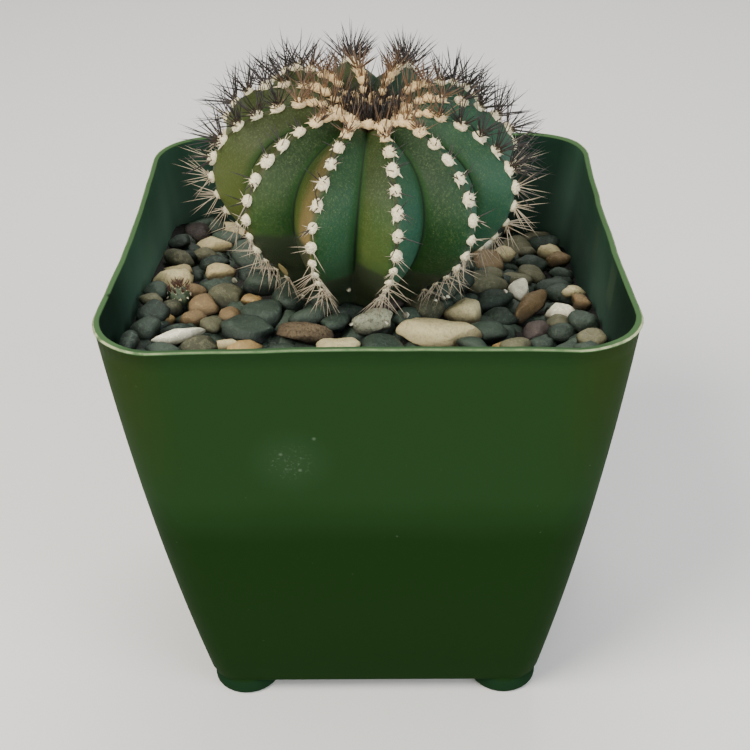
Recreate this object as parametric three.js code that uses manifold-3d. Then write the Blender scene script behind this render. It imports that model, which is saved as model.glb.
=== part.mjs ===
// A round ribbed cactus in a square nursery pot, topped with gravel.
// Millimetres, +Z up. The origin is the middle of the square that the four feet stand on,
// and -Y is the front of the pot.
import * as THREE from 'three';
import { mergeVertices } from 'three/addons/utils/BufferGeometryUtils.js';
import Module from 'manifold-3d';

const wasm = await Module();
wasm.setup();

// Pot
const RIM_WIDTH = 102;
const BASE_WIDTH = 73.5;
const POT_HEIGHT = 99.6;
const FOOT_HEIGHT = 3.9;
const WALL = 1;
const FLOOR = 1.5;
const WALL_BELLY = 1.2;
const RIM_CORNER = 13;
const BASE_CORNER = 6;
const BASE_EDGE = 1.2;
const RIM_LIP = 0.2;
const LIP_HEIGHT = 0.5;
const EDGE_ROUND = 0.2;
const RIM_PINCH = 0.9;
const FOOT_RADIUS = 7.5;
const FOOT_INSET = 7.5;
const FOOT_EDGE = 1;
const FOOT_STEPS = 3;
const FOOT_SIDES = 24;
const DRAIN_RADIUS = 4;
const DRAIN_SPREAD = 18;
const DRAIN_SIDES = 12;
const WALL_ROWS = 6;
const CORNER_STEPS = 5;
const FLAT_STEPS = 4;

// What fills the pot
const GAP = 0.3;
const SOIL_TOP = 70;
const GRAVEL_LEVEL = 84.6;
const GRAVEL_SLOPE_X = -0.04;
const GRAVEL_SLOPE_Y = -0.122;
const MOUND_HEIGHT = 4.5;
const MOUND_FLATNESS = 0.6;
const MOUND_RADIUS = 17;
const MOUND_SPREAD = 12;
const MOUND_CENTRE = [-2.3, 2.7];
const GRAVEL_RINGS = [1, 0.68, 0.4];
const PEBBLE_LARGE = 4.4;
const PEBBLE_SMALL = 3.1;
const PEBBLE_TRIES = 6000;
const PEBBLE_SPACING = 0.92;
const PEBBLE_SINK = 2.2;
const PEBBLE_HALVES = [1.25, 1.02, 0.72];
const PEBBLE_VARIETY = 0.2;
const PEBBLE_TILT = 0.5;
const PEBBLE_UNEVEN = 1.2;
const PEBBLE_WALL_ROOM = 0.9;
const PEBBLE_STEM_ROOM = 3;
const LARGE_SHARE = 0.6;
const STONE_ROOM = 0.42;
const STONE_SINK = 0.35;
const GRAVEL_SEED = 11;

// Cactus, in its own frame at the height where it is widest
const CACTUS_CENTRE = new THREE.Vector3(-0.3, -0.3, 114.1);
const LEAN_FORWARD = 0.121;
const LEAN_RIGHT = 0.087;
const RIBS = 12;
const FIRST_RIB = 11.8;
const RIB_SHIFTS = [-0.2, -0.5, -0.5, 1.2, -0.9, 0.8, -0.6, 1.3, -1.1, 0.7, 2.3, 0.3];
const CREST_WIDTH = 1.3;
const CACTUS_RADIUS = 31.4;
const SHOULDER_RADIUS = 12.2;
const SHOULDER_HEIGHT = 13.7;
const HIP_RADIUS = 19;
const HIP_DEPTH = 21.4;
const HIP_POWER = 2.35;
const CROWN_DEPTH = 5;
const CROWN_ROWS = [[0.68, 0.22], [0.36, 0.7]];
const CROWN_NOTCH = 3;
const FURROW_SHARE = 0.2;
const HIP_FURROW_SHARE = 0.12;
const CROWN_FURROW_SHARE = 0.26;
const CREST_POINTS = 24;
const NECK = [[18, -26], [16, -30.5], [11, -35], [8.5, -40], [7, -48]];
const RIB_END = -32;
const AREOLES_PER_RIB = 12;
const AREOLE_HEIGHT = 1;
const SPINE_LENGTH = 8.2;
const SPINE_VARIETY = 0.3;
const SPINE_FOOT = 0.3;
const SPINE_SPREAD = 0.45;
const SPINE_SCATTER = 0.2;
const SPINE_RISE = [-0.1, 0.25];
const SPINE_APART = 0.7;
const SPINE_APART_STEPS = 6;
const SPINE_FOOT_ROOM = 0.8;
const SPINE_LEAST_LEAN = 0.3;
const SPINE_LEAST_REACH = 0.05;
const SPINE_CLEAR = 94.5;
const SPINE_SEED = 7;

// Larger stones that lie on the gravel: middle, half sizes, turn in degrees
const STONES = [
  { name: 'stone_cream_large', at: [13.5, -23.4], half: [8.2, 4.4, 3], turn: -3, colour: 0xc9bfa4 },
  { name: 'stone_cream_wedge', at: [-6.2, -30.6], half: [4, 3, 1.9], turn: 8, colour: 0xdcc79a },
  { name: 'stone_brown_rough', at: [-12.8, -24.6], half: [5.2, 3.4, 2.4], turn: -10, colour: 0x77664c },
  { name: 'stone_blue_slab', at: [-24.6, -22.6], half: [5.7, 4, 2.3], turn: -24, colour: 0x4b5a58 },
  { name: 'stone_white_porous', at: [0.9, -21.2], half: [4.4, 2.8, 2.4], turn: 4, colour: 0xb9bdb0 },
  { name: 'stone_white_long', at: [-38.2, -27.4], half: [5.2, 1.9, 1.7], turn: 24, colour: 0xd7dbd8 },
  { name: 'stone_brown_long', at: [34, -6.8], half: [5.8, 2.3, 2.2], turn: 58, colour: 0x7a6142 },
  { name: 'stone_white_round', at: [40, -9.4], half: [3.1, 2.5, 2.1], turn: 150, colour: 0xcfc6ae },
];

// Seedling that has come up among the pebbles
const SEEDLING_AT = [-40.4, -6.4];
const SEEDLING_RADIUS = 2.2;
const SEEDLING_BRISTLE = 2;
const SEEDLING_SINK = 0.4;
const BRISTLE_RISE = 0.45;

const CORNER_LOOP = 4 * (CORNER_STEPS + FLAT_STEPS);

// Numbers from 0 to 1 that come out the same on every run
function seeded(seed) {
  let state = seed >>> 0;
  return () => {
    state = (Math.imul(state, 1664525) + 1013904223) >>> 0;
    return state / 4294967296;
  };
}

function solidOf(geometry) {
  const bare = new THREE.BufferGeometry().setAttribute('position', geometry.attributes.position);
  bare.setIndex(geometry.index);
  const merged = mergeVertices(bare, 1e-4);
  const corners = merged.index.array;
  const triangles = [];
  for (let i = 0; i < corners.length; i += 3) {
    const [a, b, c] = corners.slice(i, i + 3);
    if (a !== b && b !== c && c !== a) triangles.push(a, b, c);
  }
  return new wasm.Manifold(new wasm.Mesh({
    numProp: 3,
    vertProperties: new Float32Array(merged.attributes.position.array),
    triVerts: new Uint32Array(triangles),
  }));
}

// Drops the loose scraps that a cut leaves
function largestPiece(solid) {
  return solid.decompose().reduce((best, piece) => (piece.volume() > best.volume() ? piece : best));
}

function meshOf(name, solid, colour, roughness) {
  const cut = solid.getMesh();
  const geometry = new THREE.BufferGeometry();
  geometry.setAttribute('position', new THREE.BufferAttribute(cut.vertProperties, 3));
  geometry.setIndex(new THREE.BufferAttribute(cut.triVerts, 1));
  geometry.computeVertexNormals();
  const material = new THREE.MeshStandardMaterial({ color: colour, roughness, metalness: 0 });
  const mesh = new THREE.Mesh(geometry, material);
  mesh.name = name;
  return mesh;
}

// Turns a lathe's rings into any closed loops: place(step, row) gives each vertex
function shapedLathe(rows, steps, place) {
  const geometry = new THREE.LatheGeometry(rows.map(([r, z]) => new THREE.Vector2(r, z)), steps);
  const position = geometry.attributes.position;
  for (let i = 0; i < position.count; i++) {
    const [x, y, z] = place(Math.floor(i / rows.length) % steps, rows[i % rows.length]);
    position.setXYZ(i, x, y, z);
  }
  return solidOf(geometry);
}

// A point on a square loop with round corners, whose sides are pinched in between the corners
function squarePoint(step, half, corner, pinch) {
  const perSide = CORNER_STEPS + FLAT_STEPS;
  const side = Math.floor(step / perSide);
  const along = step % perSide;
  const radius = Math.min(corner, half);
  let [u, v] = [half - radius, half];
  if (along <= CORNER_STEPS) {
    const angle = (along / CORNER_STEPS) * Math.PI / 2;
    [u, v] = [half - radius + radius * Math.cos(angle), half - radius + radius * Math.sin(angle)];
  } else {
    const t = (along - CORNER_STEPS) / FLAT_STEPS;
    [u, v] = [(half - radius) * (1 - 2 * t), half - pinch * 4 * t * (1 - t)];
  }
  const turned = [[u, v], [-v, u], [-u, -v], [v, -u]];
  return turned[side];
}

function heightShare(z) {
  return (z - FOOT_HEIGHT) / (POT_HEIGHT - FOOT_HEIGHT);
}

// Half width of the pot's outside at a height: a straight taper with a slight belly
function potHalf(z) {
  const t = heightShare(z);
  return (BASE_WIDTH + t * (RIM_WIDTH - 2 * RIM_LIP - BASE_WIDTH)) / 2 + WALL_BELLY * 4 * t * (1 - t);
}

function squareLoft(rows) {
  return shapedLathe(rows, CORNER_LOOP, (step, [half, z]) => {
    const t = heightShare(z);
    const reach = Math.min(half / potHalf(z), 1);
    const corner = (BASE_CORNER + t * (RIM_CORNER - BASE_CORNER)) * reach;
    const [x, y] = squarePoint(step, half, corner, RIM_PINCH * t * t * reach);
    return [x, y, z];
  });
}

function levels(from, to, count) {
  return Array.from({ length: count + 1 }, (_, i) => from + (to - from) * i / count);
}

function lathed(rows, sides) {
  return shapedLathe(rows, sides, (step, [r, z]) => {
    const angle = (step / sides) * Math.PI * 2;
    return [r * Math.cos(angle), r * Math.sin(angle), z];
  });
}

function makePot() {
  const lipStart = POT_HEIGHT - LIP_HEIGHT;
  const rimHalf = RIM_WIDTH / 2;
  const innerTop = rimHalf - RIM_LIP - WALL;
  const innerFloor = FOOT_HEIGHT + FLOOR;
  const rows = [
    [0, FOOT_HEIGHT],
    [potHalf(FOOT_HEIGHT) - BASE_EDGE, FOOT_HEIGHT],
    [potHalf(FOOT_HEIGHT) - BASE_EDGE / 3, FOOT_HEIGHT + BASE_EDGE / 3],
    ...levels(FOOT_HEIGHT + BASE_EDGE, lipStart, WALL_ROWS).map((z) => [potHalf(z), z]),
    [rimHalf, lipStart + EDGE_ROUND],
    [rimHalf, POT_HEIGHT - EDGE_ROUND],
    [rimHalf - EDGE_ROUND, POT_HEIGHT],
    [innerTop + EDGE_ROUND, POT_HEIGHT],
    [innerTop, POT_HEIGHT - EDGE_ROUND],
    ...levels(lipStart, innerFloor, WALL_ROWS).map((z) => [potHalf(z) - WALL, z]),
    [0, innerFloor],
  ];
  let pot = squareLoft(rows);
  const footTop = FOOT_HEIGHT + FLOOR / 2;
  const footRound = levels(0, Math.PI / 2, FOOT_STEPS).map((angle) => [
    FOOT_RADIUS - FOOT_EDGE * (1 - Math.sin(angle)), FOOT_EDGE * (1 - Math.cos(angle)),
  ]);
  const foot = lathed([[0, 0], ...footRound, [FOOT_RADIUS, footTop], [0, footTop]], FOOT_SIDES);
  const spread = BASE_WIDTH / 2 - FOOT_INSET;
  for (const [x, y] of [[1, 1], [-1, 1], [-1, -1], [1, -1]]) {
    pot = pot.add(foot.translate([x * spread, y * spread, 0]));
  }
  const drain = lathed([[0, 0], [DRAIN_RADIUS, 0], [DRAIN_RADIUS, 2 * FLOOR], [0, 2 * FLOOR]], DRAIN_SIDES);
  for (const [x, y] of [[0, 0], [1, 0], [-1, 0], [0, 1], [0, -1]]) {
    pot = pot.subtract(drain.translate([x * DRAIN_SPREAD, y * DRAIN_SPREAD, FOOT_HEIGHT - FLOOR / 2]));
  }
  return pot;
}

// The space inside the pot, kept clear of its wall
function potInside(bottom, top) {
  const rows = levels(bottom, top, 3).map((z) => [potHalf(z) - WALL - GAP, z]);
  return squareLoft([[0, bottom], ...rows, [0, top]]);
}

function gravelLevel(x, y) {
  const fromStem = Math.hypot(x - MOUND_CENTRE[0], y - MOUND_CENTRE[1]);
  const mound = Math.exp(-(((fromStem - MOUND_RADIUS) / MOUND_SPREAD) ** 2));
  const slope = (GRAVEL_SLOPE_X * x + GRAVEL_SLOPE_Y * y) * (1 - MOUND_FLATNESS * mound);
  return GRAVEL_LEVEL + slope + MOUND_HEIGHT * mound;
}

// From the cactus's own frame to the pot's
const CACTUS_PLACE = new THREE.Matrix4()
  .makeTranslation(CACTUS_CENTRE)
  .multiply(new THREE.Matrix4().makeRotationY(LEAN_RIGHT))
  .multiply(new THREE.Matrix4().makeRotationX(LEAN_FORWARD));

function placeCactus(solid) {
  return solid.transform(CACTUS_PLACE.elements);
}

// The crest of a rib from the gravel (t = 0) over the widest place to the shoulder (t = 1), by length
const CREST = new THREE.SplineCurve(levels(-0.5, 0.5, CREST_POINTS).map((share) => {
  const angle = share * Math.PI;
  const [narrow, rise, power] = share < 0
    ? [HIP_RADIUS, HIP_DEPTH, HIP_POWER]
    : [SHOULDER_RADIUS, SHOULDER_HEIGHT, 1];
  const width = Math.max(Math.cos(angle), 0) ** power;
  return new THREE.Vector2(narrow + (CACTUS_RADIUS - narrow) * width, rise * Math.sin(angle));
}));

// Rings of the body as [radius, height, how far its crests are raised by wool]
function crestRows(grow, rise) {
  const rows = NECK.map(([r, z]) => [r + grow, z, 0]).reverse();
  const steps = 2 * AREOLES_PER_RIB;
  const body = levels(0, 1, steps).map((t, i) => {
    const place = CREST.getPointAt(t);
    return [place.x + grow, place.y, i % 2 ? rise : 0];
  });
  const crown = [...CROWN_ROWS, [0, 1]].map(([out, down]) =>
    [SHOULDER_RADIUS * out, SHOULDER_HEIGHT - CROWN_DEPTH * down, 0]);
  const [endRadius, endDepth] = NECK[NECK.length - 1];
  return [[0, endDepth - endRadius / 2, 0], ...rows, ...body, ...crown];
}

// How deep the furrows are, as a share of the radius: none on the neck, full on the body
function furrowShare(radius, height) {
  if (height < RIB_END) return 0;
  if (height < -SHOULDER_HEIGHT) return HIP_FURROW_SHARE;
  return radius < SHOULDER_RADIUS ? CROWN_FURROW_SHARE : FURROW_SHARE;
}

// How far a ring's furrows fall below its crests, which parts the ribs round the crown
function notchDepth(radius, height) {
  if (height < 0) return 0;
  return CROWN_NOTCH * (radius < SHOULDER_RADIUS ? radius / SHOULDER_RADIUS : (height / SHOULDER_HEIGHT) ** 3);
}

// The angle of a rib's crest from the front, towards +X
function ribAngle(rib) {
  return THREE.MathUtils.degToRad(FIRST_RIB + rib * 360 / RIBS + RIB_SHIFTS[rib % RIBS]);
}

// Each rib has four points to a ring: its crest, the flank beside it, the furrow and the next flank
function bodyPoint(step, [radius, height, rise]) {
  const rib = Math.floor(step / 4);
  const [start, end] = [ribAngle(rib), ribAngle(rib + 1)];
  const beside = Math.min(CREST_WIDTH / Math.max(radius, CREST_WIDTH), (end - start) / 4);
  const furrow = furrowShare(radius, height);
  const out = beside / ((end - start) / 2);
  const flank = radius * (1 - furrow * out);
  const notch = notchDepth(radius, height);
  const lift = rise * Math.max(height / SHOULDER_HEIGHT, height / HIP_DEPTH / 2);
  const [angle, reach, up] = [
    [start, radius + rise * radius / CACTUS_RADIUS, height + lift],
    [start + beside, flank, height - notch * out],
    [(start + end) / 2, radius * (1 - furrow), height - notch],
    [end - beside, flank, height - notch * out],
  ][step % 4];
  return [reach * Math.sin(angle), -reach * Math.cos(angle), up];
}

// The skin as triangles, each with the step and the row of the four-sided patch that it is half of
function skinTriangles(rows) {
  const corner = (step, row) => new THREE.Vector3(...bodyPoint(step % (4 * RIBS), rows[row]));
  const skin = [];
  for (let step = 0; step < 4 * RIBS; step++) {
    for (let row = 0; row < rows.length - 1; row++) {
      const [a, b] = [corner(step, row), corner(step + 1, row)];
      const [c, d] = [corner(step + 1, row + 1), corner(step, row + 1)];
      skin.push({ step, row, corners: [a, b, d] }, { step, row, corners: [c, d, b] });
    }
  }
  return skin;
}

// A needle grown out of one triangle: six triangles round its three-sided foot, and three to its tip
function growNeedle(corners, tip) {
  const middle = new THREE.Triangle(...corners).getMidpoint(new THREE.Vector3());
  const foot = corners.map((corner) => middle.clone().lerp(corner, SPINE_FOOT));
  return [[0, 1], [1, 2], [2, 0]].flatMap(([i, j]) => [
    [corners[i], corners[j], foot[j]], [corners[i], foot[j], foot[i]], [foot[i], foot[j], tip],
  ]);
}

// Spines that would lie on the gravel are bent up until their tips clear it
function clearedDirection(foot, direction, length) {
  const worldFoot = foot.clone().applyMatrix4(CACTUS_PLACE);
  const worldWay = direction.clone().transformDirection(CACTUS_PLACE);
  const drop = (SPINE_CLEAR - worldFoot.z) / length;
  if (worldWay.z >= drop) return direction;
  const flat = Math.hypot(worldWay.x, worldWay.y);
  const room = Math.sqrt(Math.max(1 - drop * drop, SPINE_LEAST_REACH)) / flat;
  worldWay.set(worldWay.x * room, worldWay.y * room, drop).normalize();
  return worldWay.transformDirection(CACTUS_PLACE.clone().invert());
}

// True where two spines, as lines from foot to tip, come nearer to each other than they may
function tooClose(one, other) {
  const steps = levels(0.1, 1, SPINE_APART_STEPS);
  const at = (spine, t) => spine.foot.clone().lerp(spine.tip, t);
  const line = new THREE.Line3(other.foot, other.tip);
  return one.foot.distanceTo(other.foot) < 2 * SPINE_LENGTH && steps.some((t) => {
    const point = at(one, t);
    const nearest = line.closestPointToPoint(point, true, new THREE.Vector3());
    const crowded = point.distanceTo(nearest) < SPINE_APART * (1.2 - t);
    return crowded && nearest.distanceTo(other.foot) > SPINE_FOOT_ROOM;
  });
}

// Which spine, if any, grows out of a patch of skin: on both sides of each crest, above and below its wool
function spineAt({ step, row, corners }, firstRow, random) {
  const beside = step % 4 === 0 || step % 4 === 3;
  const bodyRow = row - firstRow;
  if (!beside || bodyRow < 0) return null;
  const middle = new THREE.Triangle(...corners).getMidpoint(new THREE.Vector3());
  const out = new THREE.Triangle(...corners).getNormal(new THREE.Vector3());
  const radius = Math.hypot(middle.x, middle.y);
  const across = new THREE.Vector3(-middle.y, middle.x, 0).normalize().multiplyScalar(step % 4 ? -1 : 1);
  const up = new THREE.Vector3(-middle.x, -middle.y, 0).normalize();
  const way = new THREE.Vector3(middle.x / radius, middle.y / radius, middle.z / SHOULDER_HEIGHT).normalize()
    .addScaledVector(across, SPINE_SPREAD * radius / CACTUS_RADIUS + SPINE_SCATTER * (random() - 0.5))
    .addScaledVector(up, SPINE_RISE[bodyRow % 2]);
  if (radius < SHOULDER_RADIUS) way.set(middle.x, middle.y, 2 * SHOULDER_RADIUS);
  way.normalize();
  if (way.dot(out) < SPINE_LEAST_LEAN) return null;
  const length = SPINE_LENGTH * (1 + SPINE_VARIETY * (random() - 0.5));
  return { foot: middle, tip: middle.clone().addScaledVector(clearedDirection(middle, way, length), length) };
}

function makeCactus() {
  const random = seeded(SPINE_SEED);
  const rows = crestRows(0, AREOLE_HEIGHT);
  const spines = [];
  const skin = skinTriangles(rows).flatMap((patch, i) => {
    const spine = i % 2 ? spineAt(patch, NECK.length + 1, random) : null;
    if (!spine || spine.foot.clone().applyMatrix4(CACTUS_PLACE).z < SPINE_CLEAR) return [patch.corners];
    if (spines.some((other) => tooClose(spine, other))) return [patch.corners];
    spines.push(spine);
    return growNeedle(patch.corners, spine.tip);
  });
  const geometry = new THREE.BufferGeometry().setFromPoints(skin.flat());
  return placeCactus(solidOf(geometry));
}

// The room that the cactus takes in the soil and gravel, a little wider than itself
function cactusRoom() {
  const rows = crestRows(GAP + 0.15, 0);
  rows[0][1] -= GAP;
  const ridge = lathed(rows, RIBS * 2);
  return placeCactus(ridge.rotate([0, 0, FIRST_RIB - 90]));
}

function pebble(x, y, z, half, turn, tilt, detail, grow = 0) {
  const stone = new THREE.IcosahedronGeometry(1, detail);
  stone.scale(half[0] + grow, half[1] + grow, half[2] + grow);
  stone.applyMatrix4(new THREE.Matrix4().makeRotationFromEuler(new THREE.Euler(tilt, tilt * 0.6, turn)));
  stone.translate(x, y, z);
  return solidOf(stone);
}

function stoneSolid({ at: [x, y], half, turn }, grow = 0) {
  const z = gravelLevel(x, y) - half[2] * STONE_SINK;
  return pebble(x, y, z, half, THREE.MathUtils.degToRad(turn), 0, 1, grow);
}

// Pebbles thrown one by one where there is room, the large ones first
function pebblePlaces() {
  const random = seeded(GRAVEL_SEED);
  const taken = STONES.map(({ at: [x, y], half }) => ({ x, y, size: (half[0] + half[1]) * STONE_ROOM }));
  taken.push({ x: SEEDLING_AT[0], y: SEEDLING_AT[1], size: SEEDLING_RADIUS });
  const fixed = taken.length;
  const reach = potHalf(GRAVEL_LEVEL) - WALL;
  for (let i = 0; i < PEBBLE_TRIES; i++) {
    const shrink = Math.min(i / (LARGE_SHARE * PEBBLE_TRIES), 1);
    const size = PEBBLE_LARGE + (PEBBLE_SMALL - PEBBLE_LARGE) * shrink;
    const x = (2 * random() - 1) * (reach - size * PEBBLE_WALL_ROOM);
    const y = (2 * random() - 1) * (reach - size * PEBBLE_WALL_ROOM);
    const inCorner = Math.hypot(Math.abs(x) - reach + RIM_CORNER, Math.abs(y) - reach + RIM_CORNER);
    const pastCorner = Math.abs(x) > reach - RIM_CORNER && Math.abs(y) > reach - RIM_CORNER
      && inCorner > RIM_CORNER - size * PEBBLE_WALL_ROOM;
    const fromStem = Math.hypot(x - MOUND_CENTRE[0], y - MOUND_CENTRE[1]);
    const crowded = taken.some((other) =>
      Math.hypot(x - other.x, y - other.y) < PEBBLE_SPACING * (size + other.size));
    if (!pastCorner && fromStem >= HIP_RADIUS - PEBBLE_STEM_ROOM && !crowded) taken.push({ x, y, size });
  }
  return taken.slice(fixed);
}

function makeGravel(room) {
  const random = seeded(GRAVEL_SEED + 1);
  const bottom = SOIL_TOP + GAP;
  const reach = RIM_WIDTH / 2;
  const top = GRAVEL_LEVEL;
  const rings = GRAVEL_RINGS.map((share) => [reach * share, top]);
  const rows = [[0, bottom], [reach, bottom], ...rings, [0, top]];
  let gravel = shapedLathe(rows, CORNER_LOOP / 2, (step, [half, z]) => {
    const [x, y] = squarePoint(2 * step, half, RIM_CORNER * half / reach, 0);
    return [x, y, z > bottom ? gravelLevel(x, y) - PEBBLE_SINK : z];
  });
  for (const { x, y, size } of pebblePlaces()) {
    const half = PEBBLE_HALVES.map((share) => size * (share + PEBBLE_VARIETY * (random() - 0.5)));
    const z = gravelLevel(x, y) - half[2] + PEBBLE_UNEVEN * (random() - 0.5);
    const turn = random() * Math.PI;
    gravel = gravel.add(pebble(x, y, z, half, turn, PEBBLE_TILT * (random() - 0.5), 0));
  }
  gravel = gravel.intersect(potInside(bottom, POT_HEIGHT - 2)).subtract(room);
  for (const stone of STONES) gravel = gravel.subtract(stoneSolid(stone, GAP));
  return largestPiece(gravel.subtract(seedlingBody(GAP)));
}

function seedlingHeight() {
  return gravelLevel(...SEEDLING_AT) - SEEDLING_SINK;
}

function seedlingBody(grow) {
  const body = new THREE.IcosahedronGeometry(SEEDLING_RADIUS + grow, 1);
  body.translate(...SEEDLING_AT, seedlingHeight());
  return solidOf(body);
}

// The seedling's bristles grow out of the faces on its top
function makeSeedling() {
  const middle = new THREE.Vector3(...SEEDLING_AT, seedlingHeight());
  const ball = new THREE.IcosahedronGeometry(SEEDLING_RADIUS, 1).translate(...middle);
  const place = ball.attributes.position;
  const skin = [];
  for (let i = 0; i < place.count; i += 3) {
    const corners = [0, 1, 2].map((k) => new THREE.Vector3().fromBufferAttribute(place, i + k));
    const foot = new THREE.Triangle(...corners).getMidpoint(new THREE.Vector3());
    const way = foot.clone().sub(middle).normalize();
    const tip = foot.clone().addScaledVector(way, SEEDLING_BRISTLE);
    skin.push(...(way.z > BRISTLE_RISE ? growNeedle(corners, tip) : [corners]));
  }
  return solidOf(new THREE.BufferGeometry().setFromPoints(skin.flat()));
}

function makeSoil(room) {
  return potInside(FOOT_HEIGHT + FLOOR + GAP, SOIL_TOP).subtract(room);
}

const room = cactusRoom();
const plant = new THREE.Group();
plant.add(meshOf('cactus', makeCactus(), 0x3a5c33, 0.6));
plant.add(meshOf('seedling', makeSeedling(), 0x5c7a4e, 0.6));

const filling = new THREE.Group();
filling.add(meshOf('potting_soil', makeSoil(room), 0x2e2219, 0.95));
filling.add(meshOf('gravel_bed', makeGravel(room), 0x59635c, 0.7));
for (const stone of STONES) {
  filling.add(meshOf(stone.name, stoneSolid(stone).subtract(room), stone.colour, 0.7));
}

const pottedCactus = new THREE.Group();
pottedCactus.add(meshOf('pot', makePot(), 0x2c4a27, 0.4));
pottedCactus.add(filling);
pottedCactus.add(plant);

export default pottedCactus;
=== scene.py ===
"""A round ribbed cactus with woolly crests, in a square nursery pot topped with gravel.

Shapes are worked out in millimetres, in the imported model's frame: +Z is up and -Y is the front of the pot.
"""
import math
import random

import bmesh
import bpy
from bpy.props import FloatProperty, FloatVectorProperty, IntProperty, PointerProperty
from mathutils import Euler, Matrix, Vector, noise


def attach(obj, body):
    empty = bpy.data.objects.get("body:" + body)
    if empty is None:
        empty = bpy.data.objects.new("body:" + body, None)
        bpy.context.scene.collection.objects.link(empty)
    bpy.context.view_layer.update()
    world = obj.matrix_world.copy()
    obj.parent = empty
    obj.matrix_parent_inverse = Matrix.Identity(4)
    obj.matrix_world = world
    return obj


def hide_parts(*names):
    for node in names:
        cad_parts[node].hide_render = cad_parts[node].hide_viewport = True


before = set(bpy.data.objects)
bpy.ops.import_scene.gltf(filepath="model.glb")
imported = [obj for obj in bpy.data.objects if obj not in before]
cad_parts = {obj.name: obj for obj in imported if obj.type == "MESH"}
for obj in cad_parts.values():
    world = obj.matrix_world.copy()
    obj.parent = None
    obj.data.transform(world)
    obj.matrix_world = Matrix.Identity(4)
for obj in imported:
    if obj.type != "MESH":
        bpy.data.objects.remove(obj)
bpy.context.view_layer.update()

bl_info = {
    "name": "Potted round cactus",
    "version": (1, 0, 0),
    "blender": (4, 5, 0),
    "location": "3D View > Sidebar > Cactus",
    "description": "Builds a potted cactus with its gravel over the packed model",
    "category": "Add Mesh",
}

MM = 0.001

# Pot
FOOT_HEIGHT = 3.9
FLOOR = 1.5
BASE_CORNER = 6
BASE_EDGE = 1.2
RIM_CORNER = 13
RIM_ROUND = 0.2
RIM_WAVER = 0.25
LIP_HEIGHT = 0.5
CORNER_SHARE = 0.42
FOOT_RADIUS = 7.5
FOOT_INSET = 7.5
FOOT_EDGE = 1
DRAIN_RADIUS = 4
DRAINS = ((0, 0), (18, 0), (-18, 0), (0, 18), (0, -18))

# Marks on the pot: patches on the right inner wall (y, z), a nick in the rim (x, y), wear in front (x, z)
INNER_PATCHES = ((2.8, 93.4), (-17.3, 94.3))
NICK = (-49.4, -29.1)
SCUFF = (-15, 73)
SPECKS = ((-10.2, 78.9), (-13.2, 71), (-16.7, 75.1))

# Gravel
SOIL_TOP = 70
MOUND_HEIGHT = 4.5
MOUND_FLATNESS = 0.6
MOUND_RADIUS = 17
MOUND_SPREAD = 12
HEAP_HEIGHT = 3.2
HEAP_FROM = 40
HEAP_TO = 47
HEAP_ENDS = (0, 15)
STEM = Vector((-2, 3))
GRAVEL_REACH = 47.5
PEBBLE_TRIES = 7000
UNDER_PEBBLES = 300
GRIT_ROWS = 22
STONE_MARKS = ("tone", "rise")

# Right of this x the pebbles are lighter, partly because paler pebbles lie there and partly as painted light
# on a side the lamps leave darker: their least tone, and where the draw of their kind starts
LIGHT_SIDE = 12
LIGHT_TONE = 0.35
LIGHT_ROLL = 0.4

# Cactus, in its own frame at the height where it is widest
CENTRE = Vector((-0.3, -0.3, 114.1))
LEAN_FORWARD = 0.121
LEAN_RIGHT = 0.087
FIRST_RIB = 11.8
RIB_SHIFTS = (-0.2, -0.5, -0.5, 1.2, -0.9, 0.8, -0.6, 1.3, -1.1, 0.7, 2.3, 0.3)
RIBS = len(RIB_SHIFTS)
SHOULDER_RADIUS = 12.2
SHOULDER_HEIGHT = 13.7
HIP_RADIUS = 19
HIP_DEPTH = 21.4
HIP_POWER = 2.35
CROWN_DEPTH = 5
CROWN_NOTCH = 3
AREOLES = 12
CREST_STEPS = 400
BODY_ROWS = 72
RIB_COLUMNS = 18
CACTUS_PLACE = (Matrix.Translation(CENTRE) @ Matrix.Rotation(LEAN_RIGHT, 4, "Y")
                @ Matrix.Rotation(LEAN_FORWARD, 4, "X"))

# Stem and root: radius, height and depth of the furrows
NECK = ((0, -50.5, 0), (5, -50, 0), (7, -48, 0), (8.5, -40, 0), (11, -35, 0), (16, -30.5, 0.4),
        (18, -26, 0.55))

# Marks that the skin's colours follow
SKIN_MARKS = ("sun", "depth", "rise", "tanned", "clean")

# Flanks by rib and side of the furrow after it, where 0 is its own side and 1 the next rib's: how much
# painted warm light (1) or painted shade (-1) they get, up to what share of the crest a painted shadow
# covers them, and how far they lie in painted shade
LIT_AND_DIM_FLANKS = {(10, 1): 1, (10, 0): -0.7, (0, 1): -1}
SHADOW_TOP = 0.24
SHADOW_TOP_FLANKS = {(9, 1): 0.39, (10, 0): 0.41, (10, 1): 0.465, (11, 1): 0.345}
SHADED_FLANKS = {(0, 1): 0.08, (11, 1): 0.12}

# Marks that the wool's and the spines' colours follow
HAIR_MARKS = ("along", "crown")

# Widths of the rings of hairs, clumps, tails and spines, from the foot up
HAIR = (0.85, 0.6)
CLUMP = (1.2, 1.1, 0.7)
TAIL = (1.2, 0.8, 0.4)
SPINE = (0.92, 0.72)

# Tufts of wool in the crown, for each rib: turn, share of the shoulder's radius, lift and size
CROWN_TUFTS = ((0, 0.97, 0.2, 1.05), (0, 0.8, 0.2, 0.95), (0, 0.63, 0.1, 0.85), (0, 0.47, 0, 0.7),
               (0.5, 0.79, 1.6, 1.15), (0.5, 0.62, 1.2, 1))
CROWN_SHARES = (0.97, 0.8, 0.63, 0.47)
CROWN_SPINES = 230
TUFT_CLUMPS = 18
TUFT_HAIRS = 18

# Ribs whose angle from the front has a cosine over this have spines that are worn short
WORN_FRONT = 0.36

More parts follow.
